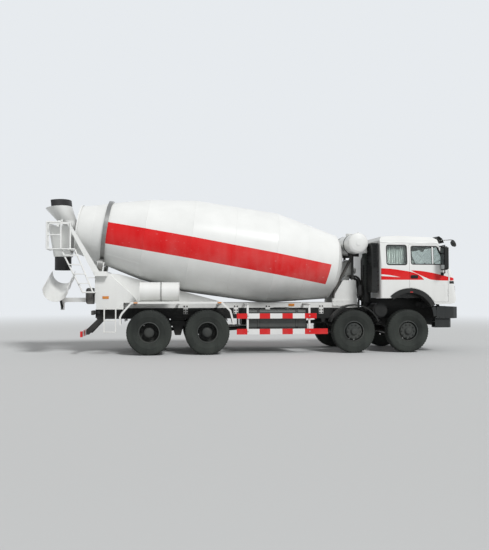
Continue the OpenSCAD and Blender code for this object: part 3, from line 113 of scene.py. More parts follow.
floor_mesh = bpy.data.meshes.new("floor")
floor_mesh.from_pydata([(x * YARD_HALF, y * YARD_HALF, 0) for x, y in ((-1, -1), (1, -1), (1, 1), (-1, 1))], [],
                       [(0, 1, 2, 3)])
floor = link_object("floor", floor_mesh)
yard = bpy.data.materials.new("pale_yard")
yard.use_nodes = True
yard.node_tree.nodes.clear()
place = own_place(yard.node_tree)
far = add_node(yard.node_tree, "ShaderNodeVectorMath", {0: place}, operation="LENGTH").outputs["Value"]
fade = add_node(yard.node_tree, "ShaderNodeMapRange",
                {"Value": far, "From Min": FADE_FROM, "From Max": FADE_TO}, interpolation_type="SMOOTHSTEP")
ground = add_node(yard.node_tree, "ShaderNodeBsdfPrincipled",
                  {"Base Color": FLOOR_TONE, "Roughness": 0.9, "Specular IOR Level": 0.1})
haze = add_node(yard.node_tree, "ShaderNodeEmission", {"Color": PALE, "Strength": 1.0})
surface = add_node(yard.node_tree, "ShaderNodeMixShader",
                   {0: fade.outputs[0], 1: ground.outputs[0], 2: haze.outputs[0]})
add_node(yard.node_tree, "ShaderNodeOutputMaterial", {"Surface": surface.outputs[0]})
floor_mesh.materials.append(yard)

key_lamp = link_object("key_lamp", bpy.data.lights.new("key_lamp", "SUN"))
key_lamp.data.energy, key_lamp.data.angle = KEY, radians(14)
key_lamp.matrix_world = Vector((-0.38, 0.74, -0.78)).to_track_quat("-Z", "Y").to_matrix().to_4x4()

# Chassis: rails, springs, axles, shafts and tanks
# Pressed steel members sprayed with one coat of black chassis paint over their rivets
# and bolts; road dust lies on everything that is low.
GREY_DUST = (0.30, 0.28, 0.25, 1.0)
BLACK_DUST = (0.090, 0.088, 0.080, 1.0)


def effect(name, inputs, outputs):
    """An empty shader node group with these named sockets."""
    group = bpy.data.node_groups.new(name, "ShaderNodeTree")
    for label, kind, value in inputs:
        made = group.interface.new_socket(name=label, in_out="INPUT", socket_type="NodeSocket" + kind)
        made.default_value = value
    for label, kind in outputs:
        group.interface.new_socket(name=label, in_out="OUTPUT", socket_type="NodeSocket" + kind)
    return group, add_node(group, "NodeGroupInput").outputs


def maths(tree, operation, a, b=0.0, clamp=False):
    """One sum of two values or sockets."""
    return add_node(tree, "ShaderNodeMath", {0: a, 1: b}, operation=operation, use_clamp=clamp).outputs[0]


def noise_value(tree, place, scale, detail=3.0, stretch=(1.0, 1.0, 1.0)):
    """Noise from 0 to 1 over the piece's own coordinates, stretched along an axis if wanted."""
    moved = add_node(tree, "ShaderNodeVectorMath", {0: place, 1: stretch}, operation="MULTIPLY")
    return add_node(tree, "ShaderNodeTexNoise",
                    {"Vector": moved.outputs[0], "Scale": scale, "Detail": detail}).outputs["Fac"]


def spread(tree, value, low, high, to_low=0.0, to_high=1.0):
    """A value spread from one range to another and held inside it."""
    return add_node(tree, "ShaderNodeMapRange", {"Value": value, "From Min": low, "From Max": high,
                    "To Min": to_low, "To Max": to_high}).outputs[0]


def mix_tone(tree, factor, a, b, blend="MIX"):
    """Two colours mixed by a factor."""
    return add_node(tree, "ShaderNodeMix", {0: factor, 6: a, 7: b}, data_type="RGBA", blend_type=blend).outputs[2]


class Reading:
    """A shader value that is added, scaled and compared like a number; a comparison gives 1 or 0."""

    def __init__(self, tree, socket):
        self.tree, self.socket = tree, socket

    def join(self, operation, other=0.0, clamp=False, last=False):
        """This value and another put through one sum."""
        a, b = (getattr(v, "socket", v) for v in ((other, self) if last else (self, other)))
        return Reading(self.tree, maths(self.tree, operation, a, b, clamp))

    def __add__(self, other):
        return self.join("ADD", other)

    def __sub__(self, other):
        return self.join("SUBTRACT", other)

    def __rsub__(self, other):
        return self.join("SUBTRACT", other, last=True)

    def __mul__(self, other):
        return self.join("MULTIPLY", other)

    def __lt__(self, other):
        return self.join("LESS_THAN", other)

    def __gt__(self, other):
        return self.join("GREATER_THAN", other)

    def __or__(self, other):
        return self.join("MAXIMUM", other)

    def __abs__(self):
        return self.join("ABSOLUTE")


def coordinates(tree, vector):
    """The three parts of a vector."""
    return [Reading(tree, part) for part in add_node(tree, "ShaderNodeSeparateXYZ", {0: vector}).outputs]


def make_road_dirt():
    """Dust that thins with height, with rain streaks, splashes and a faint change of tone."""
    group, given = effect("road_dirt", (("Tone", "Color", (0.8, 0.8, 0.8, 1.0)), ("Dirt", "Color", GREY_DUST),
                          ("Amount", "Float", 0.5), ("Low", "Float", 0.6), ("High", "Float", 2.0),
                          ("Clean Roughness", "Float", 0.3), ("Dirty Roughness", "Float", 0.8),
                          ("Orange Peel", "Float", 0.1)),
                          (("Color", "Color"), ("Roughness", "Float"), ("Normal", "Vector")))
    place = own_place(group)
    height = coordinates(group, place)[2]
    near_ground = Reading(group, spread(group, height, given["High"], given["Low"]))
    streaks = Reading(group, noise_value(group, place, 5.0, 3.0, (1.0, 1.0, 0.12)))
    clouds = Reading(group, noise_value(group, place, 1.7, 4.0))
    splash = Reading(group, spread(group, noise_value(group, place, 38.0, 2.0), 0.60, 0.72))
    worn = Reading(group, spread(group, streaks * 0.55 + clouds * 0.6, 0.35, 0.80))
    film = (near_ground * (worn + splash * 0.35) + worn * 0.10).join("MULTIPLY", given["Amount"], clamp=True)
    shade = spread(group, clouds, 0.3, 0.7, 0.94, 1.03)
    varied = mix_tone(group, 1.0, given["Tone"], add_node(group, "ShaderNodeCombineColor",
                      {0: shade, 1: shade, 2: shade}).outputs[0], "MULTIPLY")
    colour = mix_tone(group, film, varied, given["Dirt"])
    rough = add_node(group, "ShaderNodeMapRange", {"Value": film, "To Min": given["Clean Roughness"],
                     "To Max": given["Dirty Roughness"]}).outputs[0]
    skin = Reading(group, noise_value(group, place, 210.0, 1.0))
    dents = Reading(group, noise_value(group, place, 2.4, 1.0))
    relief = skin * given["Orange Peel"] + dents * 1.6
    bump = add_node(group, "ShaderNodeBump", {"Height": relief, "Strength": 0.35, "Distance": 0.0012})
    add_node(group, "NodeGroupOutput", {"Color": colour, "Roughness": rough, "Normal": bump.outputs[0]})
    return group


ROAD_DIRT = make_road_dirt()


def new_finish(name, **sockets):
    """A material with one shader whose even values are set on its own sockets."""
    finish = bpy.data.materials.new(name)
    finish.use_nodes = True
    tree = finish.node_tree
    tree.nodes.clear()
    shader = add_node(tree, "ShaderNodeBsdfPrincipled", {k.replace("_", " "): v for k, v in sockets.items()})
    add_node(tree, "ShaderNodeOutputMaterial", {"Surface": shader.outputs[0]})
    return finish, tree, shader


def dirty_finish(name, tone, dirt=GREY_DUST, amount=0.5, low=0.6, high=2.0, clean=0.35, dirty=0.85,
                 peel=0.3, **sockets):
    """A finish that takes its colour, gloss and relief from the road dirt."""
    finish, tree, shader = new_finish(name, **sockets)
    film = add_node(tree, "ShaderNodeGroup", {"Tone": tone, "Dirt": dirt, "Amount": amount, "Low": low, "High": high,
                    "Clean Roughness": clean, "Dirty Roughness": dirty, "Orange Peel": peel}, node_tree=ROAD_DIRT)
    for given, wanted in (("Color", "Base Color"), ("Roughness", "Roughness"), ("Normal", "Normal")):
        tree.links.new(film.outputs[given], shader.inputs[wanted])
    return finish, tree, shader, film


def paint_nodes(finish, *names):
    """Gives these CAD solids this finish."""
    for name in names:
        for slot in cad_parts[name].material_slots:
            slot.material = finish


chassis_black = dirty_finish("chassis_black", (0.013, 0.014, 0.014, 1.0), BLACK_DUST, 0.40, 0.3, 1.5,
                             clean=0.45, Specular_IOR_Level=0.2)[0]
cast_iron = dirty_finish("cast_iron", (0.060, 0.060, 0.060, 1.0), BLACK_DUST, 0.45, 0.3, 1.9, clean=0.55,
                         Metallic=0.5)[0]
machined_steel = dirty_finish("machined_steel", (0.46, 0.46, 0.45, 1.0), amount=0.35, low=0.4, high=2.8,
                              clean=0.28, Metallic=1.0)[0]
paint_nodes(chassis_black, "frame_rails", "springs", "driveline", "air_tanks", "axles", "jack_barrel",
            "front_mudguards")
paint_nodes(cast_iron, "engine", "knuckle_1_left", "knuckle_1_right", "knuckle_2_left", "knuckle_2_right")
paint_nodes(machined_steel, "tie_rod_1", "tie_rod_2", "jack_rod")

AXLES = (4.040, 2.590, -1.210, -2.660)
BOGIE_X = (AXLES[2] + AXLES[3]) / 2
HUB_Z = 0.5625
RAIL_Y, RAIL_LOW, RAIL_TOP, DECK = 0.430, 0.880, 1.160, 1.300


def in_frame(name, form, finish, body, smooth=None):
    """A finished form as a piece that rides a body; smooth is the angle of edges kept sharp."""
    mesh = to_mesh(name, form) if isinstance(form, bmesh.types.BMesh) else form
    piece = link_object(name, mesh)
    mesh.materials.append(finish)
    if smooth is not None:
        mesh.shade_smooth()
        mesh.set_sharp_from_angle(angle=radians(smooth))
    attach(piece, body)
    return piece


def to_mesh(name, bm):
    """The mesh of a bmesh, with doubles merged and normals outwards."""
    bmesh.ops.remove_doubles(bm, verts=bm.verts, dist=1e-6)
    bmesh.ops.recalc_face_normals(bm, faces=bm.faces)
    mesh = bpy.data.meshes.new(name)
    bm.to_mesh(mesh)
    bm.free()
    return mesh


def facing(direction, at=(0, 0, 0)):
    """The turn that points local +Z along a direction, moved to a place."""
    turn = Vector(direction).to_track_quat("Z", "Y").to_matrix().to_4x4()
    return Matrix.Translation(at) @ turn


ON_AXIS = 1e-6


def lathe(bm, profile, matrix, steps=32, sweep=2 * pi):
    """Adds a turned form: profile points (radius, height) about the local Z axis."""
    full = abs(sweep - 2 * pi) < ON_AXIS
    rings = []
    for i in range(steps if full else steps + 1):
        a = sweep * i / steps
        rings.append([bm.verts.new(matrix @ Vector((r * cos(a), r * sin(a), h))) for r, h in profile])
    for i in range(steps):
        one, two = rings[i], rings[(i + 1) % len(rings)]
        for k in range(len(profile) - 1):
            corners = [one[k], two[k], two[k + 1], one[k + 1]]
            starts, ends = (profile[n][0] < ON_AXIS for n in (k, k + 1))
            if starts and ends:
                continue
            if starts or ends:
                corners.pop(1 if starts else 2)
            bm.faces.new(corners)


def bridge(bm, one, two, closed=True):
    """Adds the faces between two rows of corners."""
    for k in range(len(one) if closed else len(one) - 1):
        n = (k + 1) % len(one)
        bm.faces.new((one[k], one[n], two[n], two[k]))


def hex_bolt(bm, at, direction, size=0.012, washer=True):
    """Adds a hexagon bolt head on its washer, standing on a surface."""
    matrix = facing(direction, at)
    if washer:
        lathe(bm, [(0, 0), (size * 1.7, 0), (size * 1.7, size * 0.22), (0, size * 0.22)], matrix, 12)
    lathe(bm, [(size, 0), (size, size * 0.95), (size * 0.86, size * 1.15), (0, size * 1.15)], matrix, 6)


def side_bolts(bm, xs, y, zs, size, sides=(-1, 1)):
    """Adds bolts that look outwards on both sides, at each of these places along and up."""
    for side in sides:
        for x in xs:
            for z in zs:
                hex_bolt(bm, (x, side * y, z), (0, side, 0), size)


bolts = bmesh.new()
for side in (-1, 1):
    for x in [4.9 - 0.16 * i for i in range(56)]:
        for z in (RAIL_LOW + 0.075, RAIL_TOP - 0.075):
            if min(abs(x - a) for a in AXLES) < 1.3 or int(x * 7) % 2:
                hex_bolt(bolts, (x, side * RAIL_Y, z), (0, side, 0), 0.010)
    for x in (AXLES[1] - 0.70, AXLES[1] - 2.15, AXLES[1] - 3.0, BOGIE_X + 0.200):
        side_bolts(bolts, (x - 0.035, x + 0.035), RAIL_Y + 0.012, (1.03, 1.10, 1.20), 0.012, (side,))
in_frame("rail_bolts", bolts, chassis_black, "chassis")

# Wheels: four steered singles and four driven twins
# Steel-belted tyres moulded with a centre rib and shoulder lugs, on ten-stud pressed steel
# discs painted dark grey; the singles bulge outwards, the outer twins are dished.
TYRE_R, TREAD_HALF, TREAD_CROWN = 0.5625, 0.108, 0.0022
LUGS, STEPS_PER_LUG = 50, 6
TREAD_DEPTH, LUG_DEPTH = 0.012, 0.015
STUDS, STUD_PITCH, HOLE_PITCH, HOLE_R = 10, 0.168, 0.219, 0.017
TRACK_FRONT, TRACK_REAR, TWIN_HALF = 2.040, 1.860, 0.170
SIDEWALL = ((0.2560, 0.1170), (0.2720, 0.1185), (0.2950, 0.1310), (0.3020, 0.1350), (0.3060, 0.1335),
            (0.3420, 0.1440), (0.3900, 0.1495), (0.3940, 0.1510), (0.3990, 0.1498), (0.4350, 0.1500),
            (0.4780, 0.1466), (0.5160, 0.1412), (0.5400, 0.1345), (0.5540, 0.1245))
ACROSS = (TREAD_HALF, 0.086, 0.064, 0.047, 0.041, 0.032, 0.027, 0.009)
half_tread = [(TYRE_R - TREAD_CROWN * (y / TREAD_HALF) ** 2, y) for y in ACROSS]
tyre_line = list(SIDEWALL) + half_tread + [(r, -y) for r, y in reversed(half_tread)]
tyre_line += [(r, -y) for r, y in reversed(SIDEWALL)]


def tyre_ring(step):
    """One section of the tyre, as (radius, height): lugs and ribs cut by its place on the round."""
    ring = []
    for r, y in tyre_line:
        phase = (step + (STEPS_PER_LUG // 2 if y < 0 else 0)) % STEPS_PER_LUG
        cut = phase in (4, 5)
        if r > TYRE_R - 0.003:
            if 0.03 < abs(y) < 0.0415:
                r -= TREAD_DEPTH
                y += 0.004 * (1 if phase < 3 else -1)
            elif cut and abs(y) > 0.045:
                r -= LUG_DEPTH
        elif cut and r > 0.535:
            r -= LUG_DEPTH * 0.5
            y -= 0.006 if y > 0 else -0.006
        ring.append((r, y))
    return ring


tyre_form = bmesh.new()
rings = []
steps = LUGS * STEPS_PER_LUG
for step in range(steps):
    a = 2 * pi * step / steps
    rings.append([tyre_form.verts.new((r * cos(a), r * sin(a), y)) for r, y in tyre_ring(step)])
for step in range(steps):
    one, two = rings[step], rings[(step + 1) % steps]
    for k in range(len(one) - 1):
        tyre_form.faces.new((one[k], two[k], two[k + 1], one[k + 1]))
tyre_mesh = to_mesh("tyre_form", tyre_form)


def holed_disc(bm, line, thick, count, pitch, hole, lift=0.0, flip=1):
    """Adds a pressed disc: line gives (radius, height) outwards, with round holes at one pitch."""
    radii = [r for r, _ in line]

    def height(r):
        for (r0, h0), (r1, h1) in zip(line, line[1:]):
            if r0 <= r <= r1:
                return lift + flip * (h0 + (h1 - h0) * (r - r0) / (r1 - r0))
        return lift + flip * line[-1][1]

    def point(r, a, down=0.0):
        return bm.verts.new((r * cos(a), r * sin(a), height(r) - flip * down))

    inner, outer = pitch - hole * 1.35, min(pitch + hole * 1.35, radii[-1])
    wedge = 2 * pi / count
    per_side = 4
    for i in range(count):
        middle = wedge * (i + 0.5)
        frame_line, hole_line = [], []
        corners = ((inner, -0.5), (outer, -0.5), (outer, 0.5), (inner, 0.5))
        for c in range(4):
            (r0, a0), (r1, a1) = corners[c], corners[(c + 1) % 4]
            for j in range(per_side):
                t = j / per_side
                frame_line.append((r0 + (r1 - r0) * t, middle + wedge * (a0 + (a1 - a0) * t)))
        for r, a in frame_line:
            angle = atan2((a - middle) * pitch, r - pitch)
            hole_line.append((pitch + hole * cos(angle), middle + hole * sin(angle) / pitch))
        for down in (0.0, thick):
            edge = [point(r, a, down) for r, a in frame_line]
            mouth = [point(r, a, down) for r, a in hole_line]
            bridge(bm, edge, mouth)
        bridge(bm, [point(r, a) for r, a in hole_line], [point(r, a, thick) for r, a in hole_line])
        within = [r for r in radii if r < inner] + [inner]
        bands = list(zip(within, within[1:])) + [(outer, radii[-1])]
        for down in (0.0, thick):
            for r0, r1 in bands:
                for j in range(per_side if r1 > r0 else 0):
                    a0, a1 = (middle + wedge * (-0.5 + (j + k) / per_side) for k in (0, 1))
                    bm.faces.new([point(r, a, down) for r, a in ((r0, a0), (r1, a0), (r1, a1), (r0, a1))])


BARREL = ((0.2440, -0.1250), (0.2620, -0.1268), (0.2680, -0.1235), (0.2680, -0.1180), (0.2545, -0.1172),
          (0.2545, 0.1172), (0.2680, 0.1180), (0.2680, 0.1235), (0.2620, 0.1268), (0.2440, 0.1250),
          (0.2400, 0.1120), (0.2400, -0.1120), (0.2440, -0.1250))
FRONT_DISC = ((0.098, 0.123), (0.200, 0.123), (0.209, 0.113), (0.222, 0.085), (0.240, 0.045))
REAR_DISC = ((0.098, 0.010), (0.200, 0.010), (0.212, 0.016), (0.226, 0.034), (0.240, 0.065))
out = Matrix.Identity(4)


def bolt_ring(bm, place, count, pitch, height, direction, size, first=0.0, washer=True):
    """Adds bolts at even steps round a circle; the first stands this share of a step round."""
    for i in range(count):
        a = 2 * pi * (i + first) / count
        hex_bolt(bm, place @ Vector((pitch * cos(a), pitch * sin(a), height)), direction, size, washer)


def wheel_nuts(bm, count, pitch, top, size):
    """Adds a ring of nuts on studs, each with its washer and rounded stud end."""
    for i in range(count):
        a = 2 * pi * i / count
        at = Matrix.Translation((pitch * cos(a), pitch * sin(a), top))
        lathe(bm, [(0, 0), (size * 1.35, 0), (size * 1.3, size * 0.2), (0, size * 0.2)], at, 16)
        lathe(bm, [(size * 1.1, 0), (size * 1.1, size * 1.1), (size * 0.95, size * 1.3), (0, size * 1.3)], at, 6)
        lathe(bm, [(size * 0.55, size * 1.2), (size * 0.55, size * 1.9), (size * 0.4, size * 2.05),
                   (0, size * 2.05)], at, 10)


def steered_rim():
    """Rim, bulging disc, hub with its cap, and brake drum of a single wheel."""
    bm = bmesh.new()
    lathe(bm, BARREL, out, 64)
    holed_disc(bm, FRONT_DISC, 0.011, STUDS, HOLE_PITCH, HOLE_R)
    lathe(bm, [(0.100, 0.050), (0.100, 0.130), (0.094, 0.139), (0.079, 0.141), (0.079, 0.160),
               (0.073, 0.168), (0.050, 0.172), (0, 0.172)], out, 48)
    lathe(bm, [(0.099, 0.038), (0.193, 0.038), (0.193, -0.091), (0.205, -0.091), (0.205, 0.046),
               (0.196, 0.051), (0.099, 0.051)], out, 48)
    lathe(bm, [(0.042, -0.059), (0.100, -0.059), (0.100, 0.051)], out, 32)
    wheel_nuts(bm, STUDS, STUD_PITCH, 0.123, 0.0165)
    bolt_ring(bm, out, 8, 0.0895, 0.1395, (0, 0, 1), 0.007, 0.5, washer=False)
    return to_mesh("steered_rim", bm)


def driven_rim():
    """Two rims back to back on the hub, with the axle's flange and the brake drum."""
    bm = bmesh.new()
    for s in (-1, 1):
        lathe(bm, [(r, h + s * TWIN_HALF) for r, h in BARREL], out, 64)
        holed_disc(bm, REAR_DISC, 0.010, STUDS, HOLE_PITCH, HOLE_R, flip=s)
    lathe(bm, [(0.100, -0.180), (0.100, 0.148), (0.126, 0.149), (0.128, 0.153), (0.128, 0.167),
               (0.124, 0.171), (0.092, 0.182), (0.060, 0.186), (0, 0.186)], out, 48)
    lathe(bm, [(0.130, -0.224), (0.100, -0.180)], out, 32)
    lathe(bm, [(0.099, -0.042), (0.193, -0.042), (0.193, -0.225), (0.205, -0.225), (0.205, -0.032),
               (0.196, -0.029), (0.099, -0.029)], out, 48)
    wheel_nuts(bm, STUDS, STUD_PITCH, 0.0105, 0.0165)
    bolt_ring(bm, out, 10, 0.110, 0.1725, (0, 0, 1), 0.008, 0.5, washer=False)
    return to_mesh("driven_rim", bm)


tyre_rubber = dirty_finish(
    "tyre_rubber", (0.017, 0.019, 0.018, 1.0), (0.062, 0.070, 0.062, 1.0), 0.75, 0.35, 1.5, 0.62, 0.92, 0.9,
    Specular_IOR_Level=0.15)[0]
rim_paint = dirty_finish("rim_paint", (0.030, 0.034, 0.033, 1.0), (0.085, 0.086, 0.076, 1.0), 0.6, 0.3, 1.2,
                         clean=0.45, dirty=0.85, Specular_IOR_Level=0.3)[0]
rim_meshes = {True: steered_rim(), False: driven_rim()}
for axle, x in enumerate(AXLES, 1):
    for side, word in ((1, "left"), (-1, "right")):
        steered = axle < 3
        track = TRACK_FRONT if steered else TRACK_REAR
        place = facing((0, side, 0), (x, side * track / 2, HUB_Z))
        node = f"wheel_{axle}_{word}"
        bm = bmesh.new()
        for shift in ((0.0,) if steered else (-TWIN_HALF, TWIN_HALF)):
            part = tyre_mesh.copy()
            part.transform(place @ Matrix.Translation((0, 0, shift)) @ Matrix.Rotation(0.7 * axle + shift, 4, "Z"))
            bm.from_mesh(part)
            bpy.data.meshes.remove(part)
        mesh = bpy.data.meshes.new("tyre_" + node[6:])
        bm.to_mesh(mesh)
        bm.free()
        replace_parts(in_frame("tyre_" + node[6:], mesh, tyre_rubber, node, 35), node)
        rim = rim_meshes[steered].copy()
        rim.transform(place)
        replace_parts(in_frame("rim_" + node[6:], rim, rim_paint, node, 35), node)

# White bodywork of the mixer: drum, pedestals, subframe, fenders, hopper, funnel and ladders
# Welded steel plate, primed and sprayed off-white; a little dust and cement splash hang on
# it, more of them low down.
OFF_WHITE = (0.775, 0.785, 0.770, 1.0)
POSTS_FROM = 1.915
white_film = (OFF_WHITE, (0.42, 0.40, 0.36, 1.0), 0.40, 0.5, 2.4, 0.30, 0.7, 0.2)
body_white = dirty_finish("body_white", *white_film, Specular_IOR_Level=0.35, Coat_Weight=0.12,
                          Coat_Roughness=0.12)[0]
paint_nodes(body_white, "subframe", "drum_drive", "rear_pedestal", "charging_hopper", "discharge_funnel",
            "water_tank", "chute_bracket", "chute", "rear_fenders", "ladders", "spare_chute")
pedestal_paint, tree, shader, film = dirty_finish("pedestal_paint", *white_film, Specular_IOR_Level=0.3)
above = coordinates(tree, own_place(tree))[2] > POSTS_FROM
tree.links.new(mix_tone(tree, above, OFF_WHITE, (0.014, 0.015, 0.015, 1.0)), film.inputs["Tone"])
paint_nodes(pedestal_paint, "front_pedestal")

# Drum
# Rolled and welded cones, off-white with one broad red band on each side that starts at the
# steel track ring; the ring runs bare on the rollers.
DRUM_X, DRUM_Z, TILT = 2.240, 2.270, radians(8)
RING_S, RING_HALF, RING_R = 6.0903, 0.050, 0.880
MOUTH_S, MOUTH_R = 6.8403, 0.630
BAND_RED = (0.680, 0.002, 0.004, 1.0)
drum_turn = Matrix.Translation((DRUM_X, 0, DRUM_Z)) @ Matrix.Rotation(TILT - pi / 2, 4, "Y")


def vector_value(tree, operation, *vectors):
    """The one value that a sum of vectors gives."""
    made = add_node(tree, "ShaderNodeVectorMath", dict(enumerate(vectors)), operation=operation)
    return Reading(tree, made.outputs["Value"])


def between(tree, value, low, high, soft=0.003):
    """1 where a value lies between two others, with a short soft edge."""
    return ((value - low).join("DIVIDE", soft, clamp=True)
            * Reading(tree, maths(tree, "SUBTRACT", high, value)).join("DIVIDE", soft, clamp=True))


def line_through(value, s0, h0, s1, h1):
    """Height of the straight line through two points at a place along the axis."""
    slope = (h1 - h0) / (s1 - s0)
    return value * slope + (h0 - slope * s0)


AXIS_UP = (sin(TILT), 0.0, cos(TILT))
BAND_LOW, BAND_TOP = (0.239, -0.528, 5.996, -0.3075), (0.1825, 0.0046, 6.013, 0.2455)
BAND_FRONT, BAND_FRONT_SLOPE, RING_DEEP, HEAD_THICK = 0.183, -0.105, 0.040, 0.1
drum_paint, tree, shader, film = dirty_finish(
    "drum_paint", OFF_WHITE, (0.45, 0.44, 0.41, 1.0), 0.30, 1.2, 3.4, 0.28, 0.6, 0.2,
    Specular_IOR_Level=0.2, Coat_Weight=0.06, Coat_Roughness=0.1)
place = own_place(tree)
from_head = add_node(tree, "ShaderNodeVectorMath", {0: place, 1: (DRUM_X, 0.0, DRUM_Z)},
                     operation="SUBTRACT").outputs[0]
along = vector_value(tree, "DOT_PRODUCT", from_head, (-cos(TILT), 0.0, sin(TILT)))
up = vector_value(tree, "DOT_PRODUCT", from_head, AXIS_UP)
beside = coordinates(tree, place)[1]
band = between(tree, up, line_through(along, *BAND_LOW), line_through(along, *BAND_TOP))
band = band * between(tree, along, up * BAND_FRONT_SLOPE + BAND_FRONT, RING_S - RING_HALF)
scuffs = Reading(tree, spread(tree, noise_value(tree, place, 9.0, 4.0, (1.0, 1.0, 2.0)), 0.66, 0.74))
tree.links.new(mix_tone(tree, band * (1.0 - scuffs * 0.12), OFF_WHITE, BAND_RED), film.inputs["Tone"])
radius = vector_value(tree, "LENGTH", add_node(tree, "ShaderNodeCombineXYZ", {0: up, 1: beside}).outputs[0])
on_ring = between(tree, along, RING_S - RING_HALF - 0.001, RING_S + RING_HALF + 0.001, 0.001)
on_ring = on_ring * (radius > RING_R - RING_DEEP)
steel_tone = mix_tone(tree, noise_value(tree, place, 14.0, 3.0), (0.20, 0.20, 0.195, 1), (0.34, 0.34, 0.33, 1))
coloured = mix_tone(tree, on_ring, film.outputs["Color"], steel_tone)
# inside faces look at the axis or along it; cement has stained them grey
look = add_node(tree, "ShaderNodeTexCoord").outputs["Normal"]
outward = up * vector_value(tree, "DOT_PRODUCT", look, AXIS_UP) + beside * coordinates(tree, look)[1]
inside = (outward < radius * 0.5) * (along > HEAD_THICK) * (1.0 - on_ring)
cement = mix_tone(tree, noise_value(tree, place, 6.0, 4.0), (0.14, 0.135, 0.12, 1), (0.30, 0.29, 0.26, 1))
tree.links.new(mix_tone(tree, inside, coloured, cement), shader.inputs["Base Color"])
tree.links.new((on_ring * 0.85).socket, shader.inputs["Metallic"])
paint_nodes(drum_paint, "drum")


def drum_radius(s):
    """Outside radius of the shell at a place along the axis."""
    line = ((0.0, 0.880), (1.700, 1.235), (RING_S - 2.190, 1.235), (RING_S - 1.010, 1.075),
            (RING_S - 0.050, 0.835), (RING_S + 0.050, 0.812), (RING_S + 0.340, 0.720), (MOUTH_S, MOUTH_R))
    for (s0, r0), (s1, r1) in zip(line, line[1:]):
        if s0 <= s <= s1:
            return r0 + (r1 - r0) * (s - s0) / (s1 - s0)
    return line[0][1]


seams = bmesh.new()
for s in (0.0, 0.85, 1.70, 2.80, RING_S - 2.190, RING_S - 1.010, RING_S + 0.34):
    r = drum_radius(s)
    lathe(seams, [(r - 0.002, s - 0.011), (r + 0.0025, s - 0.006), (r + 0.0045, s), (r + 0.0025, s + 0.006),
                  (r - 0.002, s + 0.011)], drum_turn, 120)
for s0, s1, a in ((0.02, 1.69, 0.4), (1.71, 3.89, 2.6), (3.91, 5.07, 1.1), (5.09, 6.02, 4.0)):
    run = []
    for i in range(13):
        s = s0 + (s1 - s0) * i / 12
        r = drum_radius(s)
        run.append([seams.verts.new(drum_turn @ Vector(((r + lift) * cos(a + d / r), (r + lift) * sin(a + d / r), s)))
                    for d, lift in ((-0.010, -0.002), (-0.005, 0.003), (0.0, 0.0045), (0.005, 0.003), (0.010, -0.002))])
    for one, two in zip(run, run[1:]):
        bridge(seams, one, two, closed=False)


def wire_ring(bm, radius, height, thick, sides, matrix, steps):
    """Adds a ring of round bar about the local Z axis."""
    turns = [2 * pi * k / sides for k in range(sides + 1)]
    lathe(bm, [(radius + thick * cos(a), height + thick * sin(a)) for a in turns], matrix, steps)


wire_ring(seams, MOUTH_R + 0.004, MOUTH_S - 0.016, 0.012, 10, drum_turn, 120)
in_frame("drum_weld_seams", seams, drum_paint, "drum", 60)

hatch = bmesh.new()
hatch_s, hatch_a = 2.55, radians(62)
hatch_r = drum_radius(hatch_s)
out_way = drum_turn.to_3x3() @ Vector((cos(hatch_a), sin(hatch_a), 0))
hatch_at = drum_turn @ Vector(((hatch_r - 0.022) * cos(hatch_a), (hatch_r - 0.022) * sin(hatch_a), hatch_s))
hatch_turn = facing(out_way, hatch_at)
lathe(hatch, [(0.235, 0.000), (0.235, 0.036), (0.228, 0.040), (0.150, 0.046), (0, 0.048)], hatch_turn, 48)
bolt_ring(hatch, hatch_turn, 12, 0.208, 0.041, out_way, 0.013)
in_frame("drum_hatch", hatch, body_white, "drum", 35)

flange = bmesh.new()
drum_axis = drum_turn.to_3x3() @ Vector((0, 0, 1))
bolt_ring(flange, drum_turn, 16, 0.168, -0.282, drum_axis, 0.012)
bolt_ring(flange, drum_turn, 20, 0.240, -0.408, -drum_axis, 0.010)
in_frame("gearbox_bolts", flange, machined_steel, "chassis")

roller_steel = dirty_finish("roller_steel", (0.30, 0.30, 0.29, 1.0), (0.40, 0.38, 0.34, 1.0), 0.5, 1.5, 2.6,
                            clean=0.30, dirty=0.7, Metallic=0.85)[0]
paint_nodes(roller_steel, "roller_left", "roller_right")

# Side guards and rear bar
# Square steel tube in retroreflective red and white blocks on white posts; the rear bar
# hangs on black arms and carries a bare white plate.
GUARD_RED, GUARD_WHITE = (0.62, 0.003, 0.006, 1.0), (0.74, 0.75, 0.74, 1.0)


def block_paint(name, axis, start, pitch, red_share, fence, rest=GUARD_WHITE, red_end=99.0):
    """White paint with red blocks along an axis on the tube beyond the fence, and one tone on the rest."""
    finish, tree, shader, film = dirty_finish(name, GUARD_WHITE, GREY_DUST, 0.25, 0.2, 1.4, 0.35, 0.8, 0.2,
                                              Specular_IOR_Level=0.2)
    place = coordinates(tree, own_place(tree))
    turns = (place[axis] - start).join("DIVIDE", pitch)
    tube_only = fence(place)
    red = ((turns.join("FRACT") < red_share) | (place[axis] > red_end)) * tube_only
    tone = mix_tone(tree, red, GUARD_WHITE, GUARD_RED)
    tree.links.new(mix_tone(tree, tube_only, rest, tone), film.inputs["Tone"])
    return finish


REAR_BAR_FRONT, SIDE_TUBE_FROM = -4.285, 1.2055
paint_nodes(block_paint("side_guard_blocks", 0, -0.475, 0.583, 0.465, lambda place: abs(place[1]) > SIDE_TUBE_FROM,
                        red_end=1.274), "side_guards")
paint_nodes(block_paint("rear_bar_blocks", 1, -1.2, 0.48, 0.5, lambda place: place[0] < REAR_BAR_FRONT,
                        (0.022, 0.023, 0.024, 1.0)), "rear_guard")


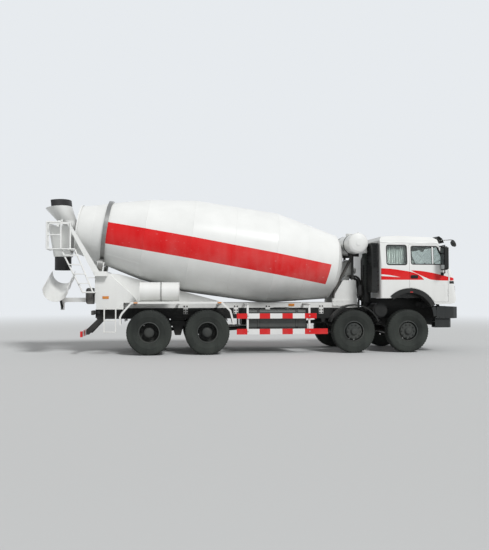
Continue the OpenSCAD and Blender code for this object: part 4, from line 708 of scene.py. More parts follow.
def rounded_box(bm, low, high, edge=0.004, segments=2):
    """Adds a block between two corners with its edges rounded."""
    low, high = Vector(map(min, low, high)), Vector(map(max, low, high))
    own = bmesh.new()
    made = bmesh.ops.create_cube(own, size=1.0)["verts"]
    for v in made:
        v.co = Vector(((low[i] + high[i]) / 2 + v.co[i] * (high[i] - low[i]) for i in range(3)))
    if edge:
        bmesh.ops.bevel(own, geom=own.edges[:], offset=edge, segments=segments, profile=0.7, affect="EDGES")
    add_form(bm, own)


def add_form(bm, own, matrix=None):
    """Adds another bmesh's faces to this one and frees it."""
    if matrix is not None:
        own.transform(matrix)
    mesh = bpy.data.meshes.new("part")
    own.to_mesh(mesh)
    own.free()
    bm.from_mesh(mesh)
    bpy.data.meshes.remove(mesh)


def small_block(bm, size, matrix):
    """Adds a plain block about the origin of a matrix."""
    own = bmesh.new()
    made = bmesh.ops.create_cube(own, size=1.0)["verts"]
    bmesh.ops.scale(own, vec=size, verts=made)
    add_form(bm, own, matrix)


def smooth_path(points, bend=0.05, steps=5):
    """A polyline with its corners rounded."""
    points = [Vector(p) for p in points]
    path = [points[0]]
    for a, b, c in zip(points, points[1:], points[2:]):
        d1, d2 = (a - b), (c - b)
        reach = min(bend, d1.length * 0.45, d2.length * 0.45)
        p, q = b + d1.normalized() * reach, b + d2.normalized() * reach
        for i in range(steps + 1):
            t = i / steps
            path.append(p * (1 - t) ** 2 + b * 2 * t * (1 - t) + q * t * t)
    path.append(points[-1])
    return path


def tube(bm, points, radius, sides=12, bend=0.05, caps=True):
    """Adds a round tube along a line with rounded corners."""
    path = smooth_path(points, bend) if len(points) > 2 else [Vector(p) for p in points]
    rings, up = [], None
    for i, p in enumerate(path):
        way = (path[min(i + 1, len(path) - 1)] - path[max(i - 1, 0)]).normalized()
        if up is None:
            up = way.orthogonal().normalized()
        up = (up - way * up.dot(way)).normalized()
        across = way.cross(up)
        rings.append([bm.verts.new(p + (up * cos(a) + across * sin(a)) * radius)
                      for a in (2 * pi * k / sides for k in range(sides))])
    for one, two in zip(rings, rings[1:]):
        bridge(bm, one, two)
    if caps:
        bm.faces.new(list(reversed(rings[0])))
        bm.faces.new(rings[-1])


plate = bmesh.new()
REAR_PLATE_X = -4.352
rounded_box(plate, (REAR_PLATE_X, -0.22, 0.470), (REAR_PLATE_X + 0.006, 0.22, 0.590), 0.002)
for y in (-0.17, 0.17):
    hex_bolt(plate, (REAR_PLATE_X, y, 0.530), (-1, 0, 0), 0.007)
blank_plate = dirty_finish("blank_plate", (0.70, 0.71, 0.70, 1.0), amount=0.35, low=0.3, high=1.5, clean=0.3)[0]
in_frame("rear_plate", plate, blank_plate, "chassis", 35)

guard_bolts = bmesh.new()
for side in (-1, 1):
    for x in (AXLES[1] - 2.780, AXLES[1] - 1.190):
        side_bolts(guard_bolts, (x,), 1.235, (0.575, 0.970), 0.010, (side,))
        side_bolts(guard_bolts, (x - 0.012, x + 0.012), 1.205, (1.255,), 0.008, (side,))
    for z in (0.500, 0.560):
        hex_bolt(guard_bolts, (REAR_PLATE_X + 0.006, side * 0.400, z), (-1, 0, 0), 0.010)
in_frame("guard_bolts", guard_bolts, machined_steel, "chassis")

# Reflectors and side markers
# Moulded amber and red acrylic with a grid of small prisms behind a clear face, screwed or
# glued to the white steel.


def lens_finish(name, tone, glow=0.0):
    """Coloured acrylic with prisms that break up the light; its colour darkens towards each prism's edge as painted
    shade.
    """
    finish, tree, shader = new_finish(name, Roughness=0.16, IOR=1.49, Coat_Weight=0.8, Coat_Roughness=0.05,
                                      Emission_Strength=glow)
    place = own_place(tree)
    prisms = add_node(tree, "ShaderNodeTexVoronoi", {"Vector": place, "Scale": 260.0}, feature="F1")
    # painted shade: the acrylic's colour darkens towards each prism's edge
    deep = mix_tone(tree, prisms.outputs["Distance"], tone, tuple(c * 0.45 for c in tone[:3]) + (1.0,))
    tree.links.new(deep, shader.inputs["Base Color"])
    bump = add_node(tree, "ShaderNodeBump", {"Height": prisms.outputs["Distance"], "Strength": 0.4,
                    "Distance": 0.001})
    tree.links.new(bump.outputs[0], shader.inputs["Normal"])
    return finish


amber = lens_finish("amber_lens", (0.80, 0.27, 0.012, 1.0))
red_lens = lens_finish("red_lens", (0.50, 0.012, 0.010, 1.0))
markers = bmesh.new()
FENDER_TOP, FENDER_OUT = 1.330, 1.250
for side in (-1, 1):
    out_y = side * (FENDER_OUT + 0.001)
    for x in (AXLES[3] - 0.33, AXLES[2] + 0.30):
        rounded_box(markers, (x - 0.050, out_y, FENDER_TOP - 0.036),
                    (x + 0.050, out_y + side * 0.012, FENDER_TOP - 0.006), 0.004)
    rounded_box(markers, (-3.86, side * 0.6005, 1.400), (-3.70, side * 0.6075, 1.470), 0.003)
    rounded_box(markers, (1.00, side * 0.4305, 1.200), (1.16, side * 0.4375, 1.270), 0.003)
in_frame("amber_markers", markers, amber, "chassis", 40)

# Ladder treads and spare chute strap
# Folded steel treads lie on the rungs of both ladders; a black strap holds the spare
# chute's two halves together.
treads, strap = bmesh.new(), bmesh.new()
LADDER_Y, LADDER_FOOT = -0.900, 1.560
for i in range(1, 5):
    t = i / 4.6
    z = LADDER_FOOT + 1.075 * t
    rounded_box(treads, (AXLES[3] - 1.650 - 0.540 * t, LADDER_Y - 0.050, z - 0.014),
                (AXLES[3] - 1.400 - 0.450 * t, LADDER_Y + 0.050, z + 0.014), 0.005)
for z in (0.572, 0.857):
    rounded_box(treads, (AXLES[3] - 1.112, -1.156, z), (AXLES[3] - 0.808, -1.088, z + 0.026), 0.005)
in_frame("ladder_treads", treads, body_white, "chassis", 35)
CHUTE_MID, STRAP_FROM = (AXLES[3] + 0.2925, -0.930, DECK + 0.290), radians(-100)
round_chute = Matrix(((0, 0, -1, CHUTE_MID[0]), (-cos(STRAP_FROM), sin(STRAP_FROM), 0, CHUTE_MID[1]),
                      (sin(STRAP_FROM), cos(STRAP_FROM), 0, CHUTE_MID[2]), (0, 0, 0, 1)))
lathe(strap, [(0.2478, -0.009), (0.2505, -0.009), (0.2505, 0.009), (0.2478, 0.009), (0.2478, -0.009)], round_chute,
      48, radians(200))
in_frame("spare_chute_strap", strap, chassis_black, "chassis", 35)

# Headlamps, fog lamps and tail lamps
# Headlamps are chromed bowls and a ribbed clear cover in a black housing with an amber
# corner; tail lamps are boxes with amber, red and clear fields.
BUMPER_X, HEAD_Y, HEAD_Z = 5.390, (0.7805, 1.1095), (0.9805, 1.1595)


def clouded_finish(label, scale, detail, tones, gloss=None, **sockets):
    """A finish whose tone changes in soft clouds, and its gloss with it if given."""
    finish, tree, shader = new_finish(label, **sockets)
    clouds = noise_value(tree, own_place(tree), scale, detail)
    tree.links.new(mix_tone(tree, clouds, *tones), shader.inputs["Base Color"])
    if gloss:
        tree.links.new(spread(tree, clouds, *gloss), shader.inputs["Roughness"])
    return finish, tree, shader


chrome = clouded_finish("lamp_chrome", 30.0, 2.0, ((0.72, 0.73, 0.74, 1), (0.88, 0.89, 0.90, 1)), Metallic=1.0,
                        Roughness=0.08)[0]
cover, tree, shader = new_finish("lamp_cover", Roughness=0.03, IOR=1.49, Transmission_Weight=1.0)
place = own_place(tree)
flutes = add_node(tree, "ShaderNodeTexWave", {"Vector": place, "Scale": 18.0}, bands_direction="Y")
tree.links.new(mix_tone(tree, flutes.outputs["Fac"], (0.96, 0.97, 0.98, 1), (1, 1, 1, 1)),
               shader.inputs["Base Color"])
bump = add_node(tree, "ShaderNodeBump", {"Height": flutes.outputs["Fac"], "Strength": 0.25, "Distance": 0.002})
tree.links.new(bump.outputs[0], shader.inputs["Normal"])
housing = dirty_finish("lamp_housing", (0.030, 0.031, 0.032, 1.0), amount=0.3, low=0.4, high=1.4, clean=0.4)[0]


def outline_slab(bm, outline, low, high, place, edge=0.003):
    """Adds a plate: an outline drawn in local X and Y, from low to high along local Z."""
    own = bmesh.new()
    bottom = [own.verts.new((x, y, low)) for x, y in outline]
    top = [own.verts.new((x, y, high)) for x, y in outline]
    own.faces.new(list(reversed(bottom)))
    face = own.faces.new(top)
    bridge(own, bottom, top)
    if edge:
        bmesh.ops.bevel(own, geom=list(face.edges), offset=edge, segments=2, profile=0.7, affect="EDGES")
    add_form(bm, own, place)


def soft_outline(points, radius, steps=4):
    """A closed outline with every corner rounded."""
    done = []
    count = len(points)
    for i in range(count):
        b = Vector(points[i])
        a, c = Vector(points[i - 1]), Vector(points[(i + 1) % count])
        d1, d2 = (a - b).normalized(), (c - b).normalized()
        reach = min(radius, (a - b).length * 0.48, (c - b).length * 0.48)
        p, q = b + d1 * reach, b + d2 * reach
        for k in range(steps + 1):
            t = k / steps
            done.append(tuple(p * (1 - t) ** 2 + b * 2 * t * (1 - t) + q * t * t))
    return done


def drawn_out(outline, width):
    """An outline moved outwards by a width, or inwards by a negative one."""
    count = len(outline)
    centre = Vector((sum(p[0] for p in outline) / count, sum(p[1] for p in outline) / count))
    line = []
    for i in range(count):
        a, b, c = (Vector(outline[j % count]) for j in (i - 1, i, i + 1))
        u, v = (b - a).normalized(), (c - b).normalized()
        n = Vector((-u.y - v.y, u.x + v.x)).normalized()
        line.append(b + (-n if (b - centre).dot(n) < 0 else n) * width)
    return line


def rim_round(bm, outline, inner, low, high, place):
    """Adds a frame between an outline and the same outline drawn in by a width."""
    within = drawn_out(outline, -inner)
    own = bmesh.new()
    loops = [[own.verts.new((p[0], p[1], h)) for p in line] for line, h in
             ((outline, low), (outline, high), (within, high), (within, low))]
    for i in range(4):
        bridge(own, loops[i], loops[(i + 1) % 4])
    bmesh.ops.recalc_face_normals(own, faces=own.faces)
    add_form(bm, own, place)


forward = Matrix(((0, 0, 1, 0), (1, 0, 0, 0), (0, 1, 0, 0), (0, 0, 0, 1)))
bowls, clear, shells, corner_ambers = (bmesh.new() for _ in range(4))
tail_red, tail_amber, tail_clear = (bmesh.new() for _ in range(3))
for side in (-1, 1):
    outline = [(side * HEAD_Y[0], HEAD_Z[0]), (side * HEAD_Y[1], HEAD_Z[0]), (side * HEAD_Y[1], HEAD_Z[1]),
               (side * (HEAD_Y[0] + 0.012), HEAD_Z[1])]
    outline = soft_outline(outline, 0.022)
    outline_slab(shells, outline, 5.312, 5.330, forward, 0)
    rim_round(shells, outline, 0.007, 5.330, BUMPER_X - 0.001, forward)
    cover_line = soft_outline([(side * 0.788, 0.988), (side * 1.102, 0.988), (side * 1.102, 1.152),
                               (side * 0.799, 1.152)], 0.018)
    outline_slab(clear, cover_line, BUMPER_X - 0.012, BUMPER_X - 0.004, forward, 0.002)
    for y, z, r in ((0.858, 1.052, 0.064), (0.998, 1.052, 0.060)):
        lathe(bowls, [(0.012, 0.000), (r * 0.55, 0.010), (r * 0.85, 0.027), (r, 0.047), (r + 0.004, 0.047),
                      (r * 0.85, 0.022), (0.012, -0.006)], facing((1, 0, 0), (5.326, side * y, z)), 36)
        lathe(bowls, [(0.011, 0.0), (0.013, 0.020), (0.009, 0.030), (0, 0.032)],
              facing((1, 0, 0), (5.332, side * y, z)), 20)
    lathe(bowls, [(0.010, 0.0), (0.030, 0.008), (0.042, 0.024), (0.045, 0.024), (0.030, 0.002), (0.010, -0.004)],
          facing((1, 0, 0), (5.182, side * 0.890, 0.800)), 32)
    for form, x0, x1, y0, y1, z0, z1, edge in (
            (bowls, 5.329, 5.334, 0.790, 1.100, 0.992, 1.148, 0.001),
            (corner_ambers, 5.332, 5.372, 1.066, 1.100, 1.000, 1.142, 0.004),
            (corner_ambers, 5.332, 5.352, 0.810, 1.050, 1.126, 1.146, 0.004),
            (shells, 5.172, 5.180, 0.7805, 0.9995, 0.7405, 0.8595, 0.004),
            (clear, 5.208, 5.214, 0.800, 0.980, 0.755, 0.845, 0.004),
            (shells, -4.100, -4.040, 0.520, 0.920, 1.000, 1.110, 0.008),
            (shells, -4.042, -4.024, 0.450, 0.700, 1.020, 1.090, 0.004),
            (shells, -4.030, -3.930, 0.4303, 0.452, 1.020, 1.090, 0.004),
            (tail_red, -4.106, -4.098, 0.530, 0.700, 1.008, 1.102, 0.004),
            (tail_amber, -4.106, -4.098, 0.704, 0.820, 1.008, 1.102, 0.004),
            (tail_clear, -4.106, -4.098, 0.824, 0.910, 1.008, 1.102, 0.004)):
        rounded_box(form, (x0, side * y0, z0), (x1, side * y1, z1), edge)
clear_prisms = lens_finish("clear_prisms", (0.72, 0.74, 0.76, 1.0))
head_set = in_frame("lamp_bowls", bowls, chrome, "chassis", 35)
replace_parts(head_set, "lamps")
for label, form, finish in (("lamp_covers", clear, cover), ("lamp_shells", shells, housing),
                            ("lamp_ambers", corner_ambers, amber), ("tail_red", tail_red, red_lens),
                            ("tail_amber", tail_amber, amber), ("tail_clear", tail_clear, clear_prisms)):
    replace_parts(in_frame(label, form, finish, "chassis", 35), "lamps")

# Bumper
# Pressed steel bumper and step panel in grained dark grey, with chequered tread plates, two
# sprung openings for the tow jaws and a bare number plate.
bumper_grey = dirty_finish("bumper_grey", (0.019, 0.022, 0.023, 1.0), BLACK_DUST, 0.40, 0.3, 1.6,
                           clean=0.48, dirty=0.8, peel=1.0, Specular_IOR_Level=0.25)[0]
paint_nodes(bumper_grey, "front_bumper")
tread = bmesh.new()
for side in (-1, 1):
    for z in (0.662, 0.792):
        rounded_box(tread, (4.762, side * 1.000, z + 0.0002), (5.110, side * 1.200, z + 0.0035), 0.001)
        for i in range(11):
            for k in range(6):
                at = Vector((4.778 + 0.032 * i, side * (1.015 + 0.034 * k), z + 0.0034))
                turn = Matrix.Translation(at) @ Matrix.Rotation(radians(45 if (i + k) % 2 else -45), 4, "Z")
                small_block(tread, (0.024, 0.006, 0.003), turn @ Matrix.Translation((0, 0, 0.0014)))
step_metal = dirty_finish("step_metal", (0.36, 0.37, 0.38, 1.0), amount=0.5, low=0.3, high=1.3, clean=0.35,
                          Metallic=0.9)[0]
in_frame("step_tread", tread, step_metal, "chassis")
front_detail = bmesh.new()
rounded_box(front_detail, (5.3905, -0.235, 1.045), (5.3965, 0.235, 1.165), 0.003)
for y in (-0.2, 0.2):
    hex_bolt(front_detail, (5.3965, y, 1.105), (1, 0, 0), 0.007)
in_frame("front_plate", front_detail, blank_plate, "chassis", 35)
bumper_bolts = bmesh.new()
for side in (-1, 1):
    for z in (0.925, 1.160):
        for y in (0.30, 0.48, 0.70):
            hex_bolt(bumper_bolts, (BUMPER_X, side * y, z), (1, 0, 0), 0.009)
    side_bolts(bumper_bolts, (4.86, 5.02, 5.17), 1.250, (0.925, 1.160), 0.009, (side,))
in_frame("bumper_bolts", bumper_bolts, bumper_grey, "chassis")

# Cab body, doors and front flap
# White enamel with red swooshes from the sleeper wall to the front corner, broken at the
# door's front edge; the flap's grille and the wings beside it are sprayed black. Black is
# also painted shade inside the wheel arches, under the cab, in the door gaps and on the wall
# behind the flap.
NOSE = AXLES[0]
CAB_HALF, LEAN_FROM, LEAN = 1.232, 2.260, 0.0862
FRONT_LINE = ((1.240, 1.290), (1.320, 1.400), (1.250, 1.970), (0.861, 2.840), (0.812, 2.950), (0.700, 3.020))
SWOOSH_TOP = ((-0.792, 2.192), (-0.580, 2.188), (-0.387, 2.171), (-0.194, 2.143), (0.024, 2.109), (0.168, 2.069),
              (0.289, 2.011), (0.361, 1.953), (0.405, 1.904))
WEDGE_TOP = ((-0.792, 2.039), (-0.580, 2.023), (-0.230, 1.962))
WEDGE_LOW = ((-0.792, 1.992), (-0.580, 1.983), (-0.230, 1.962))
DART_TOP = ((0.060, 2.143), (0.289, 2.132), (0.579, 2.090), (0.868, 2.030), (1.097, 1.974), (1.550, 1.902))
DART_LOW = ((0.060, 2.143), (0.147, 2.090), (0.289, 2.027), (0.483, 1.946), (0.627, 1.899), (1.550, 1.899))
SKIN_X, SKIN_Y, CORNER_AT, CORNER_GAP = 1.125, 1.212, 1.095, 0.036
GRILLE_LOW, GRILLE_TOP, GRILLE_HALF, WING_LOW, WING_FROM = 1.452, 1.866, 0.9765, 1.796, 1.10
DOOR_THICK, PILLAR_LEAN, WALL_BACK, WALL_TOP = 0.048, 5.19, -0.695, 2.835
ARCH_AT, ARCH_R = (0.020, 0.0, 0.920), 0.7035
NOSE_LOW, NOSE_LEAN, NOSE_BEND, SCREEN_DRAW = (1.320, 1.400), 0.1228, 1.970, 0.324
FLAP_DEEP, FLAP_TOP, FLAP_HALF = 0.0525, 2.185, 0.965
CURVE_U, CURVE_Z, SWOOSH_LOW = (-0.80, 1.60), (1.80, 2.30), 1.895


def height_line(tree, u, points):
    """The height of a drawn line over the distance round the cab."""
    node = add_node(tree, "ShaderNodeFloatCurve", {"Value": spread(tree, u, *CURVE_U)})
    curve = node.mapping.curves[0]
    scaled = [((a - CURVE_U[0]) / (CURVE_U[1] - CURVE_U[0]), (z - CURVE_Z[0]) / (CURVE_Z[1] - CURVE_Z[0]))
              for a, z in points]
    curve.points[0].location, curve.points[1].location = scaled[0], scaled[-1]
    for at in scaled[1:-1]:
        curve.points.new(*at)
    node.mapping.update()
    return spread(tree, node.outputs[0], 0.0, 1.0, *CURVE_Z)


def between_lines(tree, u, z, low, high):
    """1 where a point lies over one drawn line or height and under the other line, within its ends."""
    under = z < height_line(tree, u, high)
    over = z > (low if isinstance(low, float) else height_line(tree, u, low))
    return under * over * ((u > high[0][0]) * (u < high[-1][0]))


cab_white, tree, shader, film = dirty_finish("cab_enamel", OFF_WHITE, amount=0.40, low=0.8, high=2.2, clean=0.16,
                                             dirty=0.6, peel=0.2, Specular_IOR_Level=0.2, Coat_Weight=0.06,
                                             Coat_Roughness=0.05)
x, y, height = coordinates(tree, own_place(tree))
x_rel, off_centre = x - NOSE, abs(y)
u = x_rel + (CAB_HALF - off_centre)
outside = (off_centre > SKIN_Y) | (x_rel > SKIN_X)
swoosh = between_lines(tree, u, height, SWOOSH_LOW, SWOOSH_TOP)
wedge = between_lines(tree, u, height, WEDGE_LOW, WEDGE_TOP)
dart = between_lines(tree, u, height, DART_LOW, DART_TOP)
rounding = abs(u - CORNER_AT) < CORNER_GAP / 2
red = (swoosh.join("SUBTRACT", wedge, clamp=True) | dart).join("SUBTRACT", rounding, clamp=True) * outside
grille = (height < GRILLE_TOP) * (x_rel > 1.07) * (off_centre < GRILLE_HALF) * (height > GRILLE_LOW)
wing = (height > WING_LOW) * (height < GRILLE_TOP) * (u > WING_FROM) * outside
lean_in = ((height - LEAN_FROM) | 0.0) * LEAN
depth = (CAB_HALF - lean_in) - off_centre
pillar = 1.075 - lean_in * PILLAR_LEAN
# door gap faces painted black: a black rubber seal, and painted shade in the gap
seam = (depth > 0.003) * (depth < DOOR_THICK) * (x_rel < pillar) * (x_rel > WALL_BACK) * (height < WALL_TOP)
in_plan = add_node(tree, "ShaderNodeCombineXYZ", {0: x_rel, 2: height}).outputs[0]
# inside of the wheel arch painted black: partly a black liner, partly painted shade in the arch
house = (vector_value(tree, "DISTANCE", in_plan, ARCH_AT) < ARCH_R) * (off_centre < CAB_HALF - 0.003)
# underside of the cab painted black as painted shade under the cab
under = (height < 1.424) * (x_rel < 1.02) * (off_centre < 1.178)
nose = (NOSE_LOW[0] - (height - NOSE_LOW[1]) * NOSE_LEAN) - ((height - NOSE_BEND) | 0.0) * SCREEN_DRAW
# wall behind the flap painted black: painted shade in the recess, standing in for the dark radiator
recess = (x_rel < nose - FLAP_DEEP) * (x_rel > 1.000) * (height < FLAP_TOP) * (off_centre < FLAP_HALF)
# black paint (grille, wings) together with painted shade (arches, door gaps, underside, flap recess)
black = grille | wing | house | seam | under | recess
tone = mix_tone(tree, red, OFF_WHITE, BAND_RED)
tree.links.new(mix_tone(tree, black, tone, (0.016, 0.018, 0.019, 1.0)), film.inputs["Tone"])
paint_nodes(cab_white, "cab_shell", "door_left", "door_right", "front_flap")


def front_x(z):
    """How far forward the cab's nose is at a height."""
    for (x0, z0), (x1, z1) in zip(FRONT_LINE, FRONT_LINE[1:]):
        if z0 <= z <= z1:
            return NOSE + x0 + (x1 - x0) * (z - z0) / (z1 - z0)
    return NOSE + FRONT_LINE[0][0]


def side_y(z):
    """Half the cab's width at a height."""
    return CAB_HALF - max(0.0, z - LEAN_FROM) * LEAN


def on_front(y, z, out=0.0):
    """A point on the sloping front, raised by out."""
    slope = atan2(front_x(z) - front_x(z + 0.005), 0.005)
    return Vector((front_x(z) + out * cos(slope), y, z + out * sin(slope)))


def on_side(side):
    """Points on one side wall, raised by out."""
    lean = atan2(0.050, 0.580)
    return lambda x, z, out=0.0: Vector((NOSE + x, side * (side_y(z) + out * cos(lean)), z + out * sin(lean)))


def seal(bm, outline, place, outwards, inwards, rise, depth):
    """Adds a rubber strip round an opening: over the sheet's edge outside and into it."""
    rows = [(outwards, 0.0005), (outwards - 0.002, rise), (-inwards, rise), (-inwards, -depth), (-0.002, -depth),
            (-0.002, 0.0005)]
    loops = [[bm.verts.new(place(p[0], p[1], out)) for p in drawn_out(outline, width)] for width, out in rows]
    for i in range(len(loops)):
        bridge(bm, loops[i], loops[(i + 1) % len(loops)])


def strand(bm, a, b, wide, thick, across):
    """Adds a flat bar between two points; across is the way its width lies."""
    a, b, across = Vector(a), Vector(b), Vector(across)
    way = (b - a).normalized()
    across = (across - way * across.dot(way)).normalized() * wide / 2
    deep = way.cross(across).normalized() * thick / 2
    ends = [[bm.verts.new(p + across * i + deep * j) for i, j in ((1, 1), (-1, 1), (-1, -1), (1, -1))]
            for p in (a, b)]
    bridge(bm, *ends)
    bm.faces.new(list(reversed(ends[0])))
    bm.faces.new(ends[1])


def soft_box(x0, x1, y0, y1, radius, steps=4):
    """A box's outline with rounded corners."""
    return soft_outline([(x0, y0), (x1, y0), (x1, y1), (x0, y1)], radius, steps)


SCREEN = soft_outline([(-1.050, 2.290), (1.050, 2.290), (0.995, 2.800), (-0.995, 2.800)], 0.075, 5)
SLEEPER = soft_box(-0.590, -0.050, 2.290, 2.800, 0.060, 5)
DOOR_WINDOW = soft_outline([(0.070, 2.300), (0.985, 2.300), (0.795, 2.780), (0.070, 2.780)], 0.055, 5)
rubber = clouded_finish("seal_rubber", 14.0, 3.0, ((0.012, 0.012, 0.013, 1), (0.030, 0.030, 0.030, 1)),
                        (0.3, 0.7, 0.45, 0.65), Specular_IOR_Level=0.35)[0]
seals = bmesh.new()
seal(seals, SCREEN, on_front, 0.016, 0.022, 0.005, 0.016)
for side in (-1, 1):
    seal(seals, SLEEPER, on_side(side), 0.014, 0.016, 0.005, 0.016)
in_frame("window_seals", seals, rubber, "cab", 35)
DOORS = ((-1, "door_right"), (1, "door_left"))
for side, name in DOORS:
    seals = bmesh.new()
    seal(seals, DOOR_WINDOW, on_side(side), 0.010, 0.016, 0.004, 0.016)
    bar, wall = bmesh.new(), on_side(side)
    for x in (0.632, 0.676):
        strand(seals, wall(x, 2.304, -0.008), wall(x, 2.776, -0.008), 0.008, 0.018, (1, 0, 0))
    strand(bar, wall(0.654, 2.304, -0.007), wall(0.654, 2.776, -0.007), 0.036, 0.018, (1, 0, 0))
    line = [wall(x, z, 0.0005) for x, z in ((0.680, 1.772), (0.955, 1.765), (0.978, 1.740), (0.982, 1.466))]
    tube(bar, line, 0.0035, 6, 0.03)
    in_frame("window_bar_" + name, bar, body_white, name, 35)
    in_frame("window_seal_" + name, seals, rubber, name, 35)

# Door handles, wipers, grab rails, splash aprons and side markers
# Black mouldings: a flap handle in its recess on each door, two wipers parked to the vehicle's
# right, handles beside the windscreen, rubber aprons in the arches and a red marker over each.
DOOR_FACE, FLARE_FACE = 1.2325, 1.2502
black_plastic = dirty_finish("black_plastic", (0.013, 0.014, 0.014, 1.0), BLACK_DUST, 0.32, 0.4, 2.2,
                             clean=0.45, dirty=0.8, peel=0.8, Specular_IOR_Level=0.25)[0]
paint_nodes(black_plastic, "wheel_flares", "mirror_left", "mirror_right")
for side, name in DOORS:
    handle = bmesh.new()
    spot = Matrix(((1, 0, 0, NOSE + 0.145), (0, 0, side, side * DOOR_FACE), (0, 1, 0, 1.976), (0, 0, 0, 1)))
    cup = soft_box(-0.100, 0.100, -0.045, 0.045, 0.03)
    outline_slab(handle, cup, 0.0, 0.003, spot, 0.001)
    rim_round(handle, cup, 0.008, 0.003, 0.010, spot)
    grip = soft_box(-0.088, 0.086, 0.000, 0.034, 0.014)
    outline_slab(handle, grip, 0.006, 0.015, spot, 0.003)
    lathe(handle, [(0, 0.003), (0.015, 0.003), (0.013, 0.007), (0, 0.007)],
          spot @ Matrix.Translation((0.062, -0.024, 0)), 20)
    in_frame("handle_" + name, handle, black_plastic, name, 35)
SCREEN_LEAN = radians(24.1)
wipers = bmesh.new()
for pivot, elbow, tip, far in (((0.92, 2.278), (0.36, 2.385), (0.10, 2.430), (0.76, 2.335)),
                               ((0.18, 2.278), (-0.42, 2.385), (-0.82, 2.440), (-0.06, 2.335))):
    tube(wipers, [on_front(*pivot, 0.006), on_front(pivot[0] - 0.06, pivot[1] + 0.014, 0.030),
                  on_front(*elbow, 0.022)], 0.008, 8, 0.03)
    tube(wipers, [on_front(*tip, 0.010), on_front(*far, 0.010)], 0.006, 6)
    tube(wipers, [on_front(*tip, 0.002), on_front(*far, 0.002)], 0.004, 6)
    tube(wipers, [on_front(elbow[0] + 0.15, elbow[1] - 0.033, 0.012), on_front(*elbow, 0.024),
                  on_front(elbow[0] - 0.15, elbow[1] + 0.025, 0.012)], 0.005, 6, 0.02)
    turn = on_front(*pivot, 1.0) - on_front(*pivot)
    lathe(wipers, [(0, -0.004), (0.026, -0.004), (0.026, 0.010), (0.016, 0.020), (0, 0.022)],
          facing(turn, on_front(*pivot)), 20)
for side in (-1, 1):
    rail = [Vector((front_x(z) + 0.004, side * 1.105, z)) for z in (2.380, 2.760)]
    out = Vector((cos(SCREEN_LEAN), 0, sin(SCREEN_LEAN))) * 0.045
    tube(wipers, [rail[0], rail[0] + out, rail[1] + out, rail[1]], 0.010, 10, 0.03)
for side in (-1, 1):
    rounded_box(wipers, (4.460, side * 0.664, 1.215), (4.860, side * 0.672, 1.320), 0.003)
in_frame("wipers", wipers, black_plastic, "cab", 40)
side_marks, gutters = bmesh.new(), bmesh.new()
for side in (-1, 1):
    wall = on_side(side)
    tube(gutters, [wall(-0.745, 2.874, 0.002), wall(0.800, 2.874, 0.002)], 0.009, 8)
    spot = Matrix(((1, 0, 0, NOSE + 0.060), (0, 0, side, side * FLARE_FACE), (0, 1, 0, 1.575), (0, 0, 0, 1)))
    mark = soft_box(-0.040, 0.040, -0.013, 0.013, 0.008)
    outline_slab(side_marks, mark, 0.0, 0.010, spot, 0.003)
in_frame("cab_gutters", gutters, body_white, "cab", 35)
in_frame("cab_markers", side_marks, red_lens, "cab", 35)

# Grille mesh and corner vents
# Expanded metal closes the flap's four slots; quarter-round louvres sit in the corner
# panels under the wings.
mesh_metal = dirty_finish("grille_mesh", (0.012, 0.012, 0.012, 1.0), amount=0.3, clean=0.5, dirty=0.8)[0]
lattice = bmesh.new()
SLOTS, CELL, CELL_HIGH = (1.500, 1.590, 1.680, 1.770), 0.024, 0.025
for z in SLOTS:
    for i in range(74):
        for k in range(2):
            y = -0.888 + CELL * i
            low, high = z + 0.001 + CELL_HIGH * k, z + 0.026 + CELL_HIGH * k
            for a, b in (((y, low), (y + CELL / 2, high)), ((y + CELL / 2, high), (y + CELL, low))):
                p, q = (Vector((front_x(h) - 0.014, v, h)) for v, h in (a, b))
                strand(lattice, p, q, 0.0030, 0.0024, (0, 1, 0))
in_frame("grille_mesh", lattice, mesh_metal, "front_flap")
vents = bmesh.new()
for side in (-1, 1):
    line = [(0.0, 0.0), (0.115, 0.0)] + [(0.115 * sin(a) ** 0.8, -0.24 * cos(a) ** 0.9)
                                         for a in (radians(80), radians(60), radians(40), radians(20))] + [(0.0, -0.24)]
    own = bmesh.new()
    pts = [(side * (1.160 - 0.115 + a), 1.745 + b) for a, b in line]
    inner = [own.verts.new((front_x(z) + 0.0015 - max(0.0, abs(y) - 1.122) * 0.25, y, z)) for y, z in pts]
    outer = [own.verts.new(v.co + Vector((0.005, 0, 0))) for v in inner]
    own.faces.new(inner)
    own.faces.new(list(reversed(outer)))
    bridge(own, inner, outer)
    add_form(vents, own)
    for i in range(8):
        z = 1.735 - 0.028 * i
        reach = 0.110 * max(0.15, (1 - ((1.745 - z) / 0.24) ** 2)) ** 0.5
        x = front_x(z) + 0.008
        strand(vents, (x, side * 1.048, z), (x - max(0.0, reach - 0.075) * 0.25, side * (1.046 + reach), z), 0.010,
               0.008, (0.5, 0, 1))
in_frame("corner_vents", vents, black_plastic, "cab")

# Window glass
# Slightly green float glass with a thin film of dust, let into the walls and the doors; light
# passes through it, so that it casts no dark shadow inside the cab.
glass, tree, shader = clouded_finish("window_glass", 2.2, 4.0, ((0.66, 0.72, 0.70, 1), (0.72, 0.77, 0.75, 1)),
                                     (0.5, 0.9, 0.0, 0.02), Roughness=0.0, IOR=1.45, Transmission_Weight=1.0)
clear_way = add_node(tree, "ShaderNodeBsdfTransparent", {"Color": (0.80, 0.86, 0.84, 1.0)})
choice = add_node(tree, "ShaderNodeMixShader", {0: add_node(tree, "ShaderNodeLightPath").outputs["Is Shadow Ray"],
                  1: shader.outputs[0], 2: clear_way.outputs[0]})
output = next(n for n in tree.nodes if n.type == "OUTPUT_MATERIAL")
tree.links.new(choice.outputs[0], output.inputs["Surface"])
paint_nodes(glass, "cab_glass", "door_glass_left", "door_glass_right")

# Seats, bunk and curtains
# Foam seats and a mattress in woven cloth, simulated as stuffed covers and then given
# their sewn channels; pale curtains hang from rails over the sleeper windows.


